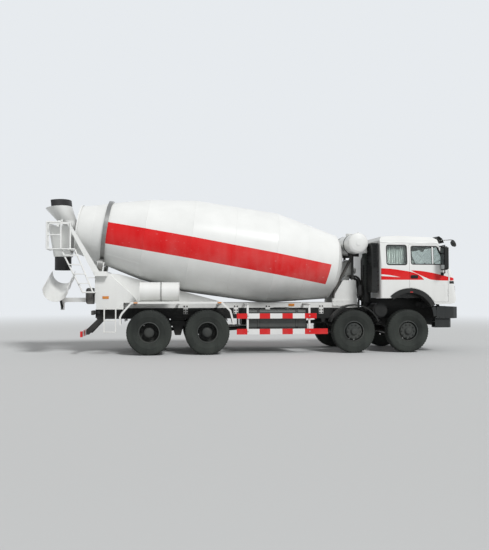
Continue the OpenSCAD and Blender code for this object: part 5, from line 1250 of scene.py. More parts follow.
def cloth_finish(name, tone, thread, scale=900.0):
    """Woven cloth: two threads in a fine check, with worn paler places."""
    finish, tree, shader = new_finish(name, Specular_IOR_Level=0.2, Sheen_Weight=0.25)
    place = own_place(tree)
    check = add_node(tree, "ShaderNodeTexChecker", {"Vector": place, "Scale": scale})
    worn = noise_value(tree, place, 6.0, 4.0)
    weave = mix_tone(tree, check.outputs["Fac"], tone, thread)
    tree.links.new(mix_tone(tree, spread(tree, worn, 0.45, 0.8, 0.0, 0.35), weave,
                            tuple(min(1.0, c * 1.6) for c in thread[:3]) + (1.0,)), shader.inputs["Base Color"])
    tree.links.new(spread(tree, worn, 0.3, 0.7, 0.8, 0.95), shader.inputs["Roughness"])
    bump = add_node(tree, "ShaderNodeBump", {"Height": noise_value(tree, place, 420.0, 2.0), "Strength": 0.3,
                    "Distance": 0.001})
    tree.links.new(bump.outputs[0], shader.inputs["Normal"])
    return finish


def pad_form(bm, low, high, corner, crown, matrix):
    """Adds a cushion's cut: a block with round corners whose top and bottom are crowned."""
    own = bmesh.new()
    size = Vector(high) - Vector(low)
    middle = (Vector(high) + Vector(low)) / 2
    made = bmesh.ops.create_cube(own, size=1.0)["verts"]
    for v in made:
        v.co = Vector(v.co[i] * size[i] for i in range(3))
    bmesh.ops.bevel(own, geom=own.edges[:], offset=corner, segments=3, profile=0.5, affect="EDGES")
    bmesh.ops.subdivide_edges(own, edges=[e for e in own.edges if e.calc_length() > 0.06], cuts=7,
                              use_grid_fill=True)
    thin = min(range(3), key=lambda i: size[i])
    wide = [i for i in range(3) if i != thin]
    for v in own.verts:
        ease = 1.0
        for i in wide:
            ease *= max(0.0, 1 - (2 * v.co[i] / size[i]) ** 2)
        v.co[thin] *= 1 + crown * ease
    own.transform(Matrix.Translation(middle))
    add_form(bm, own, matrix)


CLOTH_FRAMES = 20


def stuffed(name, form, finish, body, voxel, cap, channels=None, pressure=4.0):
    """A cover filled with foam: remeshed, blown up by a short cloth simulation, then sewn."""
    piece = in_frame(name, form, finish, body)
    cut = piece.modifiers.new("cut", "REMESH")
    cut.mode, cut.voxel_size = "VOXEL", voxel
    bake(piece)
    start = [v.co.copy() for v in piece.data.vertices]
    cloth = piece.modifiers.new("cover", "CLOTH")
    cloth.settings.use_pressure, cloth.settings.uniform_pressure_force = True, pressure
    cloth.settings.effector_weights.gravity = 0.0
    cloth.settings.quality = 4
    cloth.point_cache.frame_start, cloth.point_cache.frame_end = 1, CLOTH_FRAMES
    scene = bpy.context.scene
    for i in range(1, CLOTH_FRAMES + 1):
        scene.frame_set(i)
        bpy.context.view_layer.update()
    bake(piece)
    scene.frame_set(1)
    for v, old in zip(piece.data.vertices, start):
        move = v.co - old
        if move.length > cap:
            v.co = old + move.normalized() * cap
    if channels:
        for v in piece.data.vertices:
            v.co += channels(v.co)
    piece.data.shade_smooth()
    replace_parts(piece, "cab_interior")
    return piece


def bake(piece):
    """Applies the last modifier of a piece to its mesh."""
    graph = bpy.context.evaluated_depsgraph_get()
    mesh = bpy.data.meshes.new_from_object(piece.evaluated_get(graph))
    old, piece.data = piece.data, mesh
    bpy.data.meshes.remove(old)
    piece.modifiers.clear()
    mesh.name = piece.name


seat_cloth = cloth_finish("seat_cloth", (0.055, 0.058, 0.063, 1.0), (0.095, 0.100, 0.110, 1.0))
bunk_cloth = cloth_finish("bunk_cloth", (0.20, 0.22, 0.25, 1.0), (0.30, 0.31, 0.33, 1.0), 600.0)
SEAT_Y = 0.620


def seat_places(side):
    """Where a seat's cushion and its leaning back stand."""
    return (Matrix.Translation((NOSE + 0.120, side * SEAT_Y, 0)),
            Matrix.Translation((NOSE - 0.110, side * SEAT_Y, 1.800)) @ Matrix.Rotation(radians(-12), 4, "Y"))


def sewn(way, lines, depth):
    """How deep channels sewn along these lines pull the cover in at a place across them."""
    return sum(depth * GAUSS ** -(((way - at) / CHANNEL_HALF) ** 2) for at in lines)


GAUSS, CHANNEL_HALF = 2.718, 0.011
for side, label in ((1, "driver"), (-1, "passenger")):
    base, back = seat_places(side)
    to_seat, to_back = base.inverted(), back.inverted()

    def seat_seams(co):
        p = to_seat @ co
        if p.z < 1.79:
            return Vector()
        deep = sewn(p.y, (-0.145, 0.145), 0.009) + (sewn(p.x, (0.10,), 0.008) if abs(p.y) < 0.145 else 0.0)
        return Vector((0, 0, -deep))

    def back_seams(co):
        p = to_back @ co
        if p.x < 0.02:
            return Vector()
        deep = sewn(p.y, (-0.135, 0.135), 0.009) + (sewn(p.z, (0.14, 0.30, 0.44), 0.008) if abs(p.y) < 0.135 else 0)
        return back.to_3x3() @ Vector((-deep, 0, 0))

    for part, cut, body, finest, cap, channels in (
            ("seat_cushion_", ((-0.228, -0.228, 1.712), (0.268, 0.228, 1.818), 0.040, 0.14), base, 0.010, 0.012,
             seat_seams),
            ("seat_back_", ((-0.030, -0.218, -0.010), (0.046, 0.218, 0.568), 0.032, 0.18), back, 0.010, 0.010,
             back_seams),
            ("headrest_", ((-0.032, -0.130, 0.610), (0.030, 0.130, 0.760), 0.026, 0.15), back, 0.008, 0.007, None)):
        form = bmesh.new()
        pad_form(form, *cut, body)
        stuffed(part + label, form, seat_cloth, "cab", finest, cap, channels)
form = bmesh.new()
pad_form(form, (-0.690, -1.100, 1.866), (-0.260, 1.100, 1.958), 0.030, 0.05, Matrix.Translation((NOSE, 0, 0)))


def mattress_seams(co):
    if co.z < 1.93:
        return Vector()
    tuft = sum(GAUSS ** -(((co.y - y) ** 2 + (co.x - NOSE - x) ** 2) / 0.0012)
               for y in (-0.90, -0.54, -0.18, 0.18, 0.54, 0.90) for x in (-0.58, -0.37))
    return Vector((0, 0, -0.010 * min(1.0, tuft)))


stuffed("mattress", form, bunk_cloth, "cab", 0.016, 0.012, mattress_seams)

seat_frames = bmesh.new()
for side in (-1, 1):
    base, back = seat_places(side)
    for i in range(6):
        wide, z = 0.165 + 0.018 * (i % 2), 1.500 + 0.030 * i
        box = soft_box(-wide, wide, -wide, wide, 0.04)
        outline_slab(seat_frames, box, z, z + 0.030, base, 0.008)
    box = soft_box(-0.20, 0.22, -0.19, 0.19, 0.03)
    outline_slab(seat_frames, box, 1.4705, 1.500, base, 0.005)
    outline_slab(seat_frames, box, 1.680, 1.706, base, 0.005)
    shell = bmesh.new()
    rounded_box(shell, (-0.055, -0.225, -0.030), (-0.024, 0.225, 0.570), 0.012, 3)
    for y in (-0.048, 0.048):
        tube(shell, [(0.0, y, 0.550), (0.0, y, 0.640)], 0.007, 10)
    for y in (-0.232, 0.232):
        tube(shell, [(-0.02, y, -0.03), (0.02, y, -0.10)], 0.016, 10)
    add_form(seat_frames, shell, back)
    for y in (-0.236, 0.236):
        tube(seat_frames, [base @ Vector((-0.15, y, 1.735)), base @ Vector((0.05, y, 1.735))], 0.012, 10)
trim_plastic = dirty_finish("trim_plastic", (0.075, 0.077, 0.080, 1.0), amount=0.25, low=1.2, high=1.8, clean=0.55,
                            dirty=0.8, peel=1.2)[0]
trim_pale = dirty_finish("trim_pale", (0.34, 0.34, 0.33, 1.0), amount=0.25, low=1.2, high=1.9, clean=0.6,
                         dirty=0.8, peel=1.0)[0]
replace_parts(in_frame("seat_frames", seat_frames, trim_plastic, "cab", 35),
            "cab_interior")

CURTAIN_Y, RAIL_Z, CURTAIN_LONG, FOLD_DEEP, FOLDS = 1.098, 2.838, 0.560, 0.013, 9.5
curtain_cloth = cloth_finish("curtain_cloth", (0.52, 0.53, 0.52, 1.0), (0.62, 0.62, 0.60, 1.0), 500.0)
for side, label in ((1, "left"), (-1, "right")):
    form, rail = bmesh.new(), bmesh.new()
    across, rows, columns = [], 20, 130
    for k in range(columns + 1):
        t = k / columns
        wave = FOLD_DEEP * sin(2 * pi * t * FOLDS) + 0.004 * sin(2 * pi * t * 23 + 1.3)
        across.append(Vector((NOSE - 0.625 + 0.605 * t, side * (CURTAIN_Y + wave))))
    grid = []
    for i in range(rows + 1):
        z = 2.832 - CURTAIN_LONG * i / rows
        loose = 1.0 + 0.35 * i / rows
        line = []
        for k, p in enumerate(across):
            drift = 0.004 * sin(5.0 * i / rows + 0.19 * k) * i / rows
            line.append(form.verts.new((p.x + drift, side * (CURTAIN_Y + (abs(p.y) - CURTAIN_Y) * loose), z)))
        grid.append(line)
    for one, two in zip(grid, grid[1:]):
        bridge(form, one, two, closed=False)
    tube(rail, [(NOSE - 0.66, side * CURTAIN_Y, RAIL_Z), (NOSE + 0.01, side * CURTAIN_Y, RAIL_Z)], 0.006, 8)
    for t in (-0.655, 0.005):
        tube(rail, [(NOSE + t, side * CURTAIN_Y, RAIL_Z), (NOSE + t, side * 1.1325, RAIL_Z)], 0.006, 8)
    rod = in_frame("curtain_rail_" + label, rail, machined_steel, "cab",
                   40)
    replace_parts(rod, "cab_interior")
    curtain = in_frame("curtain_" + label, form, curtain_cloth, "cab")
    curtain.data.shade_smooth()
    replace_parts(curtain, "cab_interior")

# Dashboard, steering wheel, engine cover and bunk base
# Moulded plastic with a hooded dial panel, air vents, switches and a glove box; a ribbed
# engine cover with the gear lever; pedals, floor mats and a grey lining under the roof.
dash, dials, mats = bmesh.new(), bmesh.new(), bmesh.new()
flat_out = Matrix(((1, 0, 0, NOSE), (0, 0, 1, 0), (0, 1, 0, 0), (0, 0, 0, 1)))
profile = soft_outline([(1.0380, 1.800), (1.0380, 2.180), (0.960, 2.268), (0.860, 2.268), (0.700, 2.180),
                        (0.682, 2.060), (0.760, 1.950), (0.800, 1.800)], 0.05, 5)
outline_slab(dash, profile, -1.108, 1.108, flat_out, 0)
hood = soft_outline([(0.640, 2.130), (0.665, 2.285), (0.700, 2.310), (0.900, 2.290), (0.900, 2.180), (0.720, 2.180),
                     (0.690, 2.100)], 0.03, 4)
outline_slab(dash, hood, 0.390, 0.850, flat_out, 0.010)
slope = Vector((-0.990, 0, 0.148)).normalized()
for y, z, r in ((-0.115, 0.000, 0.058), (0.115, 0.000, 0.058), (0.0, 0.030, 0.030), (0.0, -0.040, 0.030)):
    spot = Matrix.Translation((0, y, z)) @ facing(slope, (NOSE + 0.652, SEAT_Y, 2.205))
    lathe(dials, [(r, 0.000), (r, 0.010), (r - 0.004, 0.010), (r - 0.005, 0.004), (0, 0.004)], spot, 28)
    for i in range(9):
        a = radians(-120 + 30 * i)
        tick = spot @ Matrix.Rotation(a, 4, "Z") @ Matrix.Translation((r * 0.78, 0, 0.0045))
        small_block(dials, (r * 0.14, 0.0016, 0.0012), tick)
    needle = spot @ Matrix.Rotation(radians(-105), 4, "Z") @ Matrix.Translation((r * 0.28, 0, 0.006))
    small_block(dials, (r * 0.7, 0.0022, 0.0014), needle)
for y in (-0.98, -0.30, 0.30, 0.98):
    rounded_box(dash, (NOSE + 0.672, y - 0.075, 2.095), (NOSE + 0.700, y + 0.075, 2.165), 0.006)
    for i in range(5):
        z = 2.103 + 0.012 * i
        strand(dials, (NOSE + 0.671, y - 0.066, z), (NOSE + 0.671, y + 0.066, z), 0.008, 0.003, (1, 0, 0.5))
rounded_box(dash, (NOSE + 0.671, -0.150, 1.990), (NOSE + 0.730, 0.210, 2.075), 0.008)
for i in range(9):
    y = -0.135 + 0.038 * i
    rounded_box(dials, (NOSE + 0.666, y, 2.010), (NOSE + 0.675, y + 0.026, 2.052), 0.003)
rounded_box(dash, (NOSE + 0.675, -0.860, 1.975), (NOSE + 0.735, -0.380, 2.075), 0.012)
tube(dials, [(NOSE + 0.676, -0.680, 2.050), (NOSE + 0.664, -0.670, 2.050), (NOSE + 0.664, -0.570, 2.050),
             (NOSE + 0.676, -0.560, 2.050)], 0.006, 8, 0.01)

WHEEL_R, WHEEL_LEAN = 0.225, radians(-28)
wheel_at = Matrix.Translation((NOSE + 0.560, SEAT_Y, 2.190)) @ Matrix.Rotation(WHEEL_LEAN, 4, "Y")
wheel = bmesh.new()
wire_ring(wheel, WHEEL_R, 0, 0.016, 12, wheel_at, 64)
for i in range(28):
    a = 2 * pi * i / 28
    spot = wheel_at @ Matrix.Rotation(a, 4, "Z") @ Matrix.Translation((0.212, 0, -0.010))
    own = bmesh.new()
    bmesh.ops.create_icosphere(own, subdivisions=1, radius=0.0075)
    add_form(wheel, own, spot)
lathe(wheel, [(0, -0.030), (0.045, -0.030), (0.060, -0.012), (0.070, 0.000), (0.066, 0.012), (0.040, 0.019),
              (0, 0.020)], wheel_at, 32)
for a in (90, 210, 330):
    arm = [wheel_at @ Matrix.Rotation(radians(a), 4, "Z") @ Vector(p) for p in
           ((0.045, 0, -0.002), (0.120, 0, -0.012), (0.215, 0, 0.000))]
    for dy in (-0.011, 0.011):
        shift = wheel_at.to_3x3() @ (Matrix.Rotation(radians(a), 3, "Z") @ Vector((0, dy, 0)))
        tube(wheel, [p + shift for p in arm], 0.0075, 10, 0.05)
tube(dash, [(NOSE + 0.562, SEAT_Y, 2.180), (NOSE + 0.820, SEAT_Y, 1.700)], 0.030, 20)
tube(dash, [(NOSE + 0.815, SEAT_Y, 1.715), (NOSE + 0.860, SEAT_Y, 1.322)], 0.020, 16)
for side in (-1, 1):
    tube(dials, [(NOSE + 0.620, SEAT_Y, 2.080), (NOSE + 0.560, SEAT_Y + side * 0.080, 2.120),
                 (NOSE + 0.520, SEAT_Y + side * 0.170, 2.150)], 0.007, 8, 0.03)

cover_line = soft_box(-0.30, 0.70, -0.38, 0.38, 0.09, 6)
cover_form = bmesh.new()
outline_slab(cover_form, cover_line, 1.4705, 1.690, Matrix.Translation((NOSE, 0, 0)), 0.035)
for i in range(5):
    y = -0.26 + 0.13 * i
    rounded_box(cover_form, (NOSE - 0.20, y - 0.014, 1.686), (NOSE + 0.60, y + 0.014, 1.698), 0.004)
lathe(cover_form, [(0.075, 1.690), (0.060, 1.705), (0.045, 1.725), (0.050, 1.735), (0.030, 1.760), (0.012, 1.790),
                   (0, 1.792)], Matrix.Translation((NOSE + 0.42, 0.24, 0)), 24)
lever = bmesh.new()
tube(lever, [(NOSE + 0.42, 0.24, 1.770), (NOSE + 0.43, 0.25, 1.900), (NOSE + 0.38, 0.27, 2.000)], 0.009, 10)
lathe(lever, [(0, -0.012), (0.020, 0.0), (0.026, 0.022), (0.022, 0.042), (0, 0.052)],
      Matrix.Translation((NOSE + 0.378, 0.271, 1.990)), 20)
for y, x in ((0.500, 0.80), (0.720, 0.78), (0.800, 0.78)):
    tube(lever, [(NOSE + x + 0.19, y, 1.760), (NOSE + x + 0.08, y, 1.560), (NOSE + x, y, 1.455)], 0.010, 8, 0.04)
    spot = facing((-0.75, 0, 0.66), (NOSE + x - 0.008, y, 1.450))
    outline_slab(lever, soft_box(-0.04, 0.04, -0.035, 0.035, 0.012),
                 0.0, 0.012, spot, 0.003)
for side in (-1, 1):
    rounded_box(mats, (NOSE + 0.655, side * 0.420, 1.3105), (NOSE + 1.030, side * 0.900, 1.318), 0.003)
    rounded_box(mats, (NOSE - 0.200, side * 0.420, 1.4705), (NOSE + 0.590, side * 0.900, 1.478), 0.003)
bunk = bmesh.new()
rounded_box(bunk, (NOSE - 0.708, -1.118, 1.802), (NOSE - 0.252, 1.118, 1.858), 0.012)
rounded_box(bunk, (NOSE - 0.708, -0.858, 1.4705), (NOSE - 0.302, 0.858, 1.801), 0.012)
for y in (-0.45, 0.0, 0.45):
    rounded_box(bunk, (NOSE - 0.306, y - 0.18, 1.530), (NOSE - 0.298, y + 0.18, 1.760), 0.010)
lining = bmesh.new()
rounded_box(lining, (NOSE - 0.640, -1.010, 2.950), (NOSE + 0.640, 1.010, 2.962), 0.004)
rounded_box(lining, (NOSE - 0.7085, -1.050, 2.020), (NOSE - 0.700, 1.050, 2.900), 0.004)
for y in (-0.55, 0.55):
    board = facing((0.32, 0, -0.95), (NOSE + 0.700, y, 2.855))
    outline_slab(lining, soft_box(-0.075, 0.075, -0.20, 0.20, 0.03),
                 0.0, 0.016, board, 0.005)
    for dy in (-0.14, 0.14):
        tube(lining, [board @ Vector((-0.06, dy, 0.006)), (NOSE + 0.600, y + dy, 2.951)], 0.006, 8)
dial_white = dirty_finish("dial_marks", (0.50, 0.50, 0.48, 1.0), amount=0.2, low=1.2, high=1.9, clean=0.4)[0]
rubber_mat = dirty_finish("rubber_mat", (0.022, 0.022, 0.022, 1.0), amount=0.8, low=1.5, high=1.2, clean=0.7)[0]
for label, form, finish in (("dashboard", dash, trim_plastic), ("dash_fittings", dials, dial_white),
                            ("steering_wheel", wheel, trim_plastic), ("engine_cover", cover_form, trim_plastic),
                            ("levers_pedals", lever, trim_plastic), ("floor_mats", mats, rubber_mat),
                            ("bunk_base", bunk, trim_pale), ("cab_lining", lining, trim_pale)):
    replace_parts(in_frame(label, form, finish, "cab", 38), "cab_interior")

# Sun visor, its lamps and the mirrors
# A smoked acrylic visor on four brackets with five pale lamps along it; chromed glass in
# every mirror, slightly crowned.
visor_smoke = dirty_finish("visor_smoke", (0.014, 0.018, 0.017, 1.0), amount=0.35, low=2.0, high=3.4, clean=0.12,
                           dirty=0.5, peel=0.1)[0]
paint_nodes(visor_smoke, "roof_visor")
visor_lamps = bmesh.new()
for y in (-0.92, -0.46, 0.0, 0.46, 0.92):
    place = facing((0.91, 0, 0.41), (NOSE + 0.9935, y, 2.9385))
    outline_slab(visor_lamps, soft_box(-0.045, 0.045, -0.022, 0.022, 0.014),
                 0.0, 0.016, place, 0.006)
in_frame("visor_lamps", visor_lamps, clear_prisms, "cab", 35)
mirror_glass = clouded_finish("mirror_glass", 3.0, 4.0, ((0.62, 0.66, 0.67, 1), (0.78, 0.80, 0.80, 1)),
                              (0.5, 0.8, 0.03, 0.12), Metallic=1.0)[0]


def crowned_plate(bm, outline, crown, place):
    """Adds a mirror: a plate whose middle stands a little proud of its edge."""
    own = bmesh.new()
    centre = Vector((sum(p[0] for p in outline) / len(outline), sum(p[1] for p in outline) / len(outline)))
    rings = []
    for i in range(6):
        t = 1 - i / 6
        rings.append([own.verts.new((centre.x + (p[0] - centre.x) * t, centre.y + (p[1] - centre.y) * t,
                                     crown * (1 - t * t))) for p in outline])
    tip = own.verts.new((centre.x, centre.y, crown))
    for one, two in zip(rings, rings[1:]):
        bridge(own, one, two)
    for k in range(len(outline)):
        own.faces.new((rings[-1][k], rings[-1][(k + 1) % len(outline)], tip))
    add_form(bm, own, place)


for side, name in DOORS:
    form, surround = bmesh.new(), bmesh.new()
    backwards = Matrix(((0, 0, -1, NOSE + 0.8495), (1, 0, 0, side * 1.395), (0, 1, 0, 0), (0, 0, 0, 1)))
    for low, high in ((2.175, 2.560), (2.590, 2.735)):
        line = soft_box(-0.112, 0.112, low, high, 0.035)
        crowned_plate(form, line, 0.003, backwards @ Matrix.Translation((0, 0, 0.003)))
        rim_round(surround, soft_box(-0.122, 0.122, low - 0.010, high + 0.010, 0.04), 0.012, 0.0, 0.006, backwards)
    in_frame("mirror_glass_" + name, form, mirror_glass, name, 60)
    in_frame("mirror_frame_" + name, surround, black_plastic, name,
             35)
round_glass = bmesh.new()
for side in (-1, 1):
    front = Matrix.Translation((NOSE + 1.250, side * 1.080, 2.850)) @ Matrix.Rotation(radians(65), 4, "Y")
    under = front @ Matrix.Translation((0, 0, 0.0652))
    ring = [(0.090 * cos(2 * pi * k / 32), 0.090 * sin(2 * pi * k / 32)) for k in range(32)]
    crowned_plate(round_glass, ring, 0.012, under)
in_frame("round_mirrors", round_glass, mirror_glass, "cab", 60)


# Water tank, front frame and hydraulic hoses
# Weld seams, straps and lid bolts on the pressed tank; a black pipe bundle and
# loose hoses run down beside the frame from under the tank.
TANK_X, TANK_Z, TANK_R, TANK_END, PIPE_Y = 2.795, 2.870, 0.270, 0.850, -0.452
tank_bits, straps, hoses = bmesh.new(), bmesh.new(), bmesh.new()
for side in (-1, 1):
    turn = facing((0, side, 0), (TANK_X, side * TANK_END, TANK_Z))
    lathe(tank_bits, [(TANK_R, -0.008), (TANK_R + 0.004, -0.004), (TANK_R + 0.004, 0.002), (TANK_R - 0.001, 0.006)],
          turn, 64)
    bolt_ring(tank_bits, turn, 6, 0.045, 0.080, (0, side, 0), 0.007)
    lathe(tank_bits, [(0, 0.078), (0.070, 0.078), (0.070, 0.086), (0, 0.086)], turn, 32)
    strap = facing((0, 1, 0), (TANK_X, side * 0.390, TANK_Z))
    lathe(straps, [(TANK_R + 0.0005, -0.028), (TANK_R + 0.005, -0.028), (TANK_R + 0.005, 0.028),
                   (TANK_R + 0.0005, 0.028), (TANK_R + 0.0005, -0.028)], strap, 64)
    for x in (-0.135, 0.135):
        tube(straps, [(TANK_X + x, side * 0.390, TANK_Z - 0.235), (TANK_X + x, side * 0.390, TANK_Z - 0.330)], 0.008, 8)
        hex_bolt(straps, (TANK_X + x, side * 0.390, TANK_Z - 0.326), (0, 0, -1), 0.011)
lid = Matrix.Translation((TANK_X, 0, TANK_Z + TANK_R + 0.040))
lathe(tank_bits, [(0, 0.0), (0.094, 0.0), (0.098, 0.006), (0.094, 0.012), (0.030, 0.018), (0, 0.018)], lid, 40)
bolt_ring(tank_bits, lid, 8, 0.080, 0.012, (0, 0, 1), 0.007)
in_frame("tank_fittings", tank_bits, body_white, "chassis", 35)
for dy, r in ((0.0, 0.034), (0.060, 0.024)):
    tube(hoses, [(2.720, PIPE_Y - dy, 2.640), (2.715, PIPE_Y - dy, 2.500), (2.235, PIPE_Y - dy, 1.590),
                 (2.215, PIPE_Y - dy, 1.420)], r, 14, 0.08)
for t in (0.12, 0.38, 0.64, 0.90):
    x, z = 2.715 - 0.480 * t, 2.500 - 0.910 * t
    if z < 1.86:
        rounded_box(straps, (x - 0.030, -0.520, z - 0.016), (x + 0.045, -0.4305, z + 0.016), 0.004)
for y, reach, low, r in ((-0.300, 0.10, 1.48, 0.020), (-0.230, 0.16, 1.42, 0.020), (-0.150, 0.05, 1.50, 0.016),
                         (0.160, 0.12, 1.44, 0.020), (0.240, 0.07, 1.50, 0.016)):
    tube(hoses, [(2.560 + reach, y, 2.020), (2.840 + reach, y, 2.000), (2.900 + reach, y * 1.1, 1.760),
                 (2.880 + reach * 0.5, y * 1.15, low), (2.780, y * 1.2, 1.360)], r, 12, 0.12)
hose_rubber = dirty_finish("hose_rubber", (0.012, 0.012, 0.012, 1.0), amount=0.5, low=1.0, high=3.0, clean=0.5)[0]
in_frame("hydraulic_lines", hoses, hose_rubber, "chassis", 50)
in_frame("tank_straps", straps, chassis_black, "chassis", 35)
frame_bolts = bmesh.new()
side_bolts(frame_bolts, (2.225, 2.330, 2.480, 2.640, 2.790, 2.865), 0.450, (1.225, 1.335), 0.012)
in_frame("frame_bolts", frame_bolts, body_white, "chassis")

# Intake stack, silencer shields and oil cooler
# A louvred black box with expanded metal over its openings and a rain lid; plastic shields
# close the gap over the frame; the cooler has fins and a wire guard round its fan.
paint_nodes(black_plastic, "intake_stack")
paint_nodes(dirty_finish("cooler_black", (0.016, 0.017, 0.018, 1.0), amount=0.6, low=0.8, high=2.0, clean=0.4)[0],
            "oil_cooler")
STACK_X, STACK_Y, STACK_TOP, WIRE_Y = (3.080, 3.235), (-1.130, -0.700), 2.840, -1.1315
wire = bmesh.new()
for i in range(26):
    for k in range(5):
        x, z = STACK_X[0] + 0.030 + 0.020 * k - (0.0025 if i % 2 else 0), 2.200 + 0.023 * i
        for a, b in (((x, z), (x + 0.010, z + 0.0115)), ((x + 0.010, z + 0.0115), (x + 0.020, z)),
                     ((x, z + 0.023), (x + 0.010, z + 0.0115)), ((x + 0.010, z + 0.0115), (x + 0.020, z + 0.023))):
            strand(wire, (a[0], WIRE_Y, a[1]), (b[0], WIRE_Y, b[1]), 0.0034, 0.0026, (0, 0, 1))
for z in (2.195, 2.803):
    strand(wire, (STACK_X[0] + 0.024, WIRE_Y, z), (STACK_X[1] - 0.018, WIRE_Y, z), 0.014, 0.004, (0, 0, 1))
for x in (STACK_X[0] + 0.024, STACK_X[1] - 0.020):
    strand(wire, (x, WIRE_Y, 2.190), (x, WIRE_Y, 2.808), 0.014, 0.004, (1, 0, 0))
in_frame("stack_mesh", wire, chassis_black, "chassis")
lid = bmesh.new()
cap = soft_box(STACK_X[0] - 0.012, STACK_X[1] + 0.012, STACK_Y[0] - 0.012, STACK_Y[1] + 0.012, 0.03)
outline_slab(lid, cap, STACK_TOP - 0.020, STACK_TOP + 0.018, Matrix.Identity(4), 0.014)
for side in (-1, 1):
    rounded_box(lid, (NOSE - 0.780, side * 0.438, RAIL_TOP + 0.002), (NOSE + 0.600, side * 0.444, 1.404), 0.002)
    rounded_box(lid, (NOSE + 0.600, side * 0.438, RAIL_TOP + 0.002), (NOSE + 0.960, side * 0.444, 1.244), 0.002)
    side_bolts(lid, [NOSE + x for x in (-0.70, -0.35, 0.0, 0.35, 0.58)], 0.444, (RAIL_TOP + 0.030,), 0.008, (side,))
in_frame("stack_lid_and_shields", lid, black_plastic, "chassis", 35)
COOLER_X, COOLER_Y, COOLER_Z = AXLES[3] - 1.600, -0.510, 1.475
guard, fins = bmesh.new(), bmesh.new()
turn = facing((-1, 0, 0), (COOLER_X, COOLER_Y, COOLER_Z))
for r in (0.045, 0.075, 0.105, 0.135, 0.165, 0.190):
    wire_ring(guard, r, 0.004, 0.0022, 6, turn, 40)
for a in range(0, 360, 30):
    spin = turn @ Matrix.Rotation(radians(a), 4, "Z")
    strand(guard, spin @ Vector((0.040, 0, 0.003)), spin @ Vector((0.193, 0, 0.003)), 0.004, 0.003,
           spin.to_3x3() @ Vector((0, 1, 0)))
for i in range(40):
    z = COOLER_Z - 0.195 + 0.010 * i
    strand(fins, (AXLES[3] - 1.4285, -0.715, z), (AXLES[3] - 1.4285, -0.305, z), 0.0016, 0.003, (0, 0, 1))
in_frame("cooler_guard", guard, machined_steel, "chassis", 50)
in_frame("cooler_fins", fins, cast_iron, "chassis")

# Air cleaner, ducts and oil can behind the cab
# A ribbed plastic box on a leg, a bellows duct and hoses that run under the cab to the
# engine, and the steering oil's can on its shelf, all on the chassis and free of the cab.
# The dark box, duct and hoses also stand in for the shade on the cab's pale rear wall.
# dark grey-green plastic, which also stands in for painted shade on the cab's rear wall
duct_plastic = dirty_finish("duct_plastic", (0.034, 0.042, 0.037, 1.0), BLACK_DUST, 0.35, 1.2, 2.8, 0.5,
                            Specular_IOR_Level=0.25)[0]
CLEANER_X, CLEANER_Y, CLEANER_Z = (3.030, 3.160), (-0.660, -0.420), (1.620, 2.620)
CAN_AT = (2.927, -0.610, 1.500)
cleaner, ducts, can = bmesh.new(), bmesh.new(), bmesh.new()
rounded_box(cleaner, (CLEANER_X[0], CLEANER_Y[0], CLEANER_Z[0]), (CLEANER_X[1], CLEANER_Y[1], CLEANER_Z[1]), 0.020)
for i in range(13):
    z = CLEANER_Z[0] + 0.060 + 0.070 * i
    rounded_box(cleaner, (CLEANER_X[0] - 0.008, CLEANER_Y[0] - 0.008, z),
                (CLEANER_X[1] + 0.004, CLEANER_Y[1] + 0.008, z + 0.022), 0.006)
rounded_box(cleaner, (3.060, -0.446, 1.080), (3.120, -0.431, 1.640), 0.003)
for z in (1.105, 1.140):
    hex_bolt(cleaner, (3.090, -0.446, z), (0, -1, 0), 0.010)
DUCT_X, DUCT_Y, DUCT_R = 3.095, -0.300, 0.062
tube(ducts, [(DUCT_X, -0.425, 2.480), (DUCT_X, DUCT_Y, 2.480), (DUCT_X, DUCT_Y, 1.330), (3.520, -0.260, 1.270)],
     DUCT_R, 24, 0.11)
for i in range(26):
    lathe(ducts, [(DUCT_R - 0.004, -0.010), (DUCT_R + 0.010, 0.0), (DUCT_R - 0.004, 0.010), (DUCT_R - 0.004, -0.010)],
          Matrix.Translation((DUCT_X, DUCT_Y, 1.450 + 0.037 * i)), 28)
for y, drop in ((-0.110, 0.0), (0.010, 0.05)):
    tube(ducts, [(2.780, y, 2.030 - drop), (3.020, y, 2.000 - drop), (3.060, y, 1.380), (3.520, y, 1.230)], 0.028, 14,
         0.12)
in_frame("air_cleaner", cleaner, duct_plastic, "chassis", 35)
in_frame("engine_ducts", ducts, hose_rubber, "chassis", 50)
lathe(can, [(0, 0.0), (0.052, 0.0), (0.056, 0.006), (0.056, 0.225), (0.048, 0.245), (0.026, 0.250), (0.026, 0.275),
            (0.022, 0.280), (0, 0.280)], Matrix.Translation(CAN_AT), 36)
for z in (0.050, 0.180):
    lathe(can, [(0.055, z), (0.059, z), (0.059, z + 0.016), (0.055, z + 0.016), (0.055, z)],
          Matrix.Translation(CAN_AT), 36)
rounded_box(can, (2.870, -0.670, 1.486), (2.984, -0.431, 1.501), 0.003)
rounded_box(can, (2.900, -0.446, 1.090), (2.956, -0.431, 1.490), 0.003)
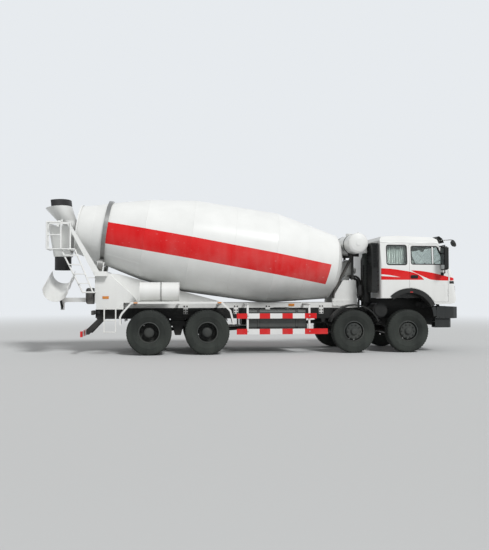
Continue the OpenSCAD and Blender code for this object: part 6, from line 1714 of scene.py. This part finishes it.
in_frame("oil_can", can, cast_iron, "chassis", 35)

# Fuel tank
# Dull grey metal under road film, with rubber under the straps, a locking cap, weld
# beads round both ends and the fuel lines.
tank_metal, tree, shader, film = dirty_finish("tank_metal", (0.06, 0.065, 0.065, 1.0), BLACK_DUST, 0.5, 0.5, 1.5,
                                              clean=0.45, dirty=0.75, Metallic=0.35)
place = own_place(tree)
brushed = noise_value(tree, place, 60.0, 3.0, (0.06, 1.0, 6.0))
tree.links.new(mix_tone(tree, brushed, (0.045, 0.052, 0.050, 1), (0.090, 0.098, 0.095, 1)), film.inputs["Tone"])
paint_nodes(tank_metal, "fuel_tank")
tank = bmesh.new()
TANK_FROM, TANK_TO = -0.150, 1.340


def tank_ring(grow):
    return soft_box(-1.100 - grow, -0.500 + grow, 0.640 - grow, 1.120 + grow, 0.060 + grow, 8)


for x, d in ((TANK_FROM, 0.012), (TANK_TO - 0.018, 0.012), (TANK_FROM + 0.50, 0.006), (TANK_TO - 0.51, 0.006)):
    rim_round(tank, tank_ring(0.003), 0.0045, x, x + d, forward)
filler = Matrix.Translation((TANK_TO - 0.480, -0.980, 1.155))
lathe(tank, [(0, 0.0), (0.050, 0.0), (0.052, 0.006), (0.049, 0.020), (0.036, 0.024), (0.034, 0.030), (0, 0.031)],
      filler, 36)
for i in range(18):
    a = 2 * pi * i / 18
    spot = filler @ Matrix.Rotation(a, 4, "Z") @ Matrix.Translation((0.0505, 0, 0.011))
    small_block(tank, (0.005, 0.006, 0.014), spot)
for y in (-0.62, -0.66):
    tube(tank, [(0.95, y, 1.118), (0.95, y, 1.165), (0.90, y, 1.175), (0.60, y + 0.02, 1.170), (0.55, -0.47, 1.155)],
         0.006, 8, 0.04)
in_frame("tank_details", tank, tank_metal, "chassis", 35)
pads = bmesh.new()
for x in (TANK_FROM + 0.250, TANK_TO - 0.250):
    rim_round(pads, tank_ring(0.0078), 0.0074, x - 0.034, x + 0.034, forward)
in_frame("strap_pads", pads, rubber, "chassis", 35)
paint_nodes(rubber, "rubber_skirts")
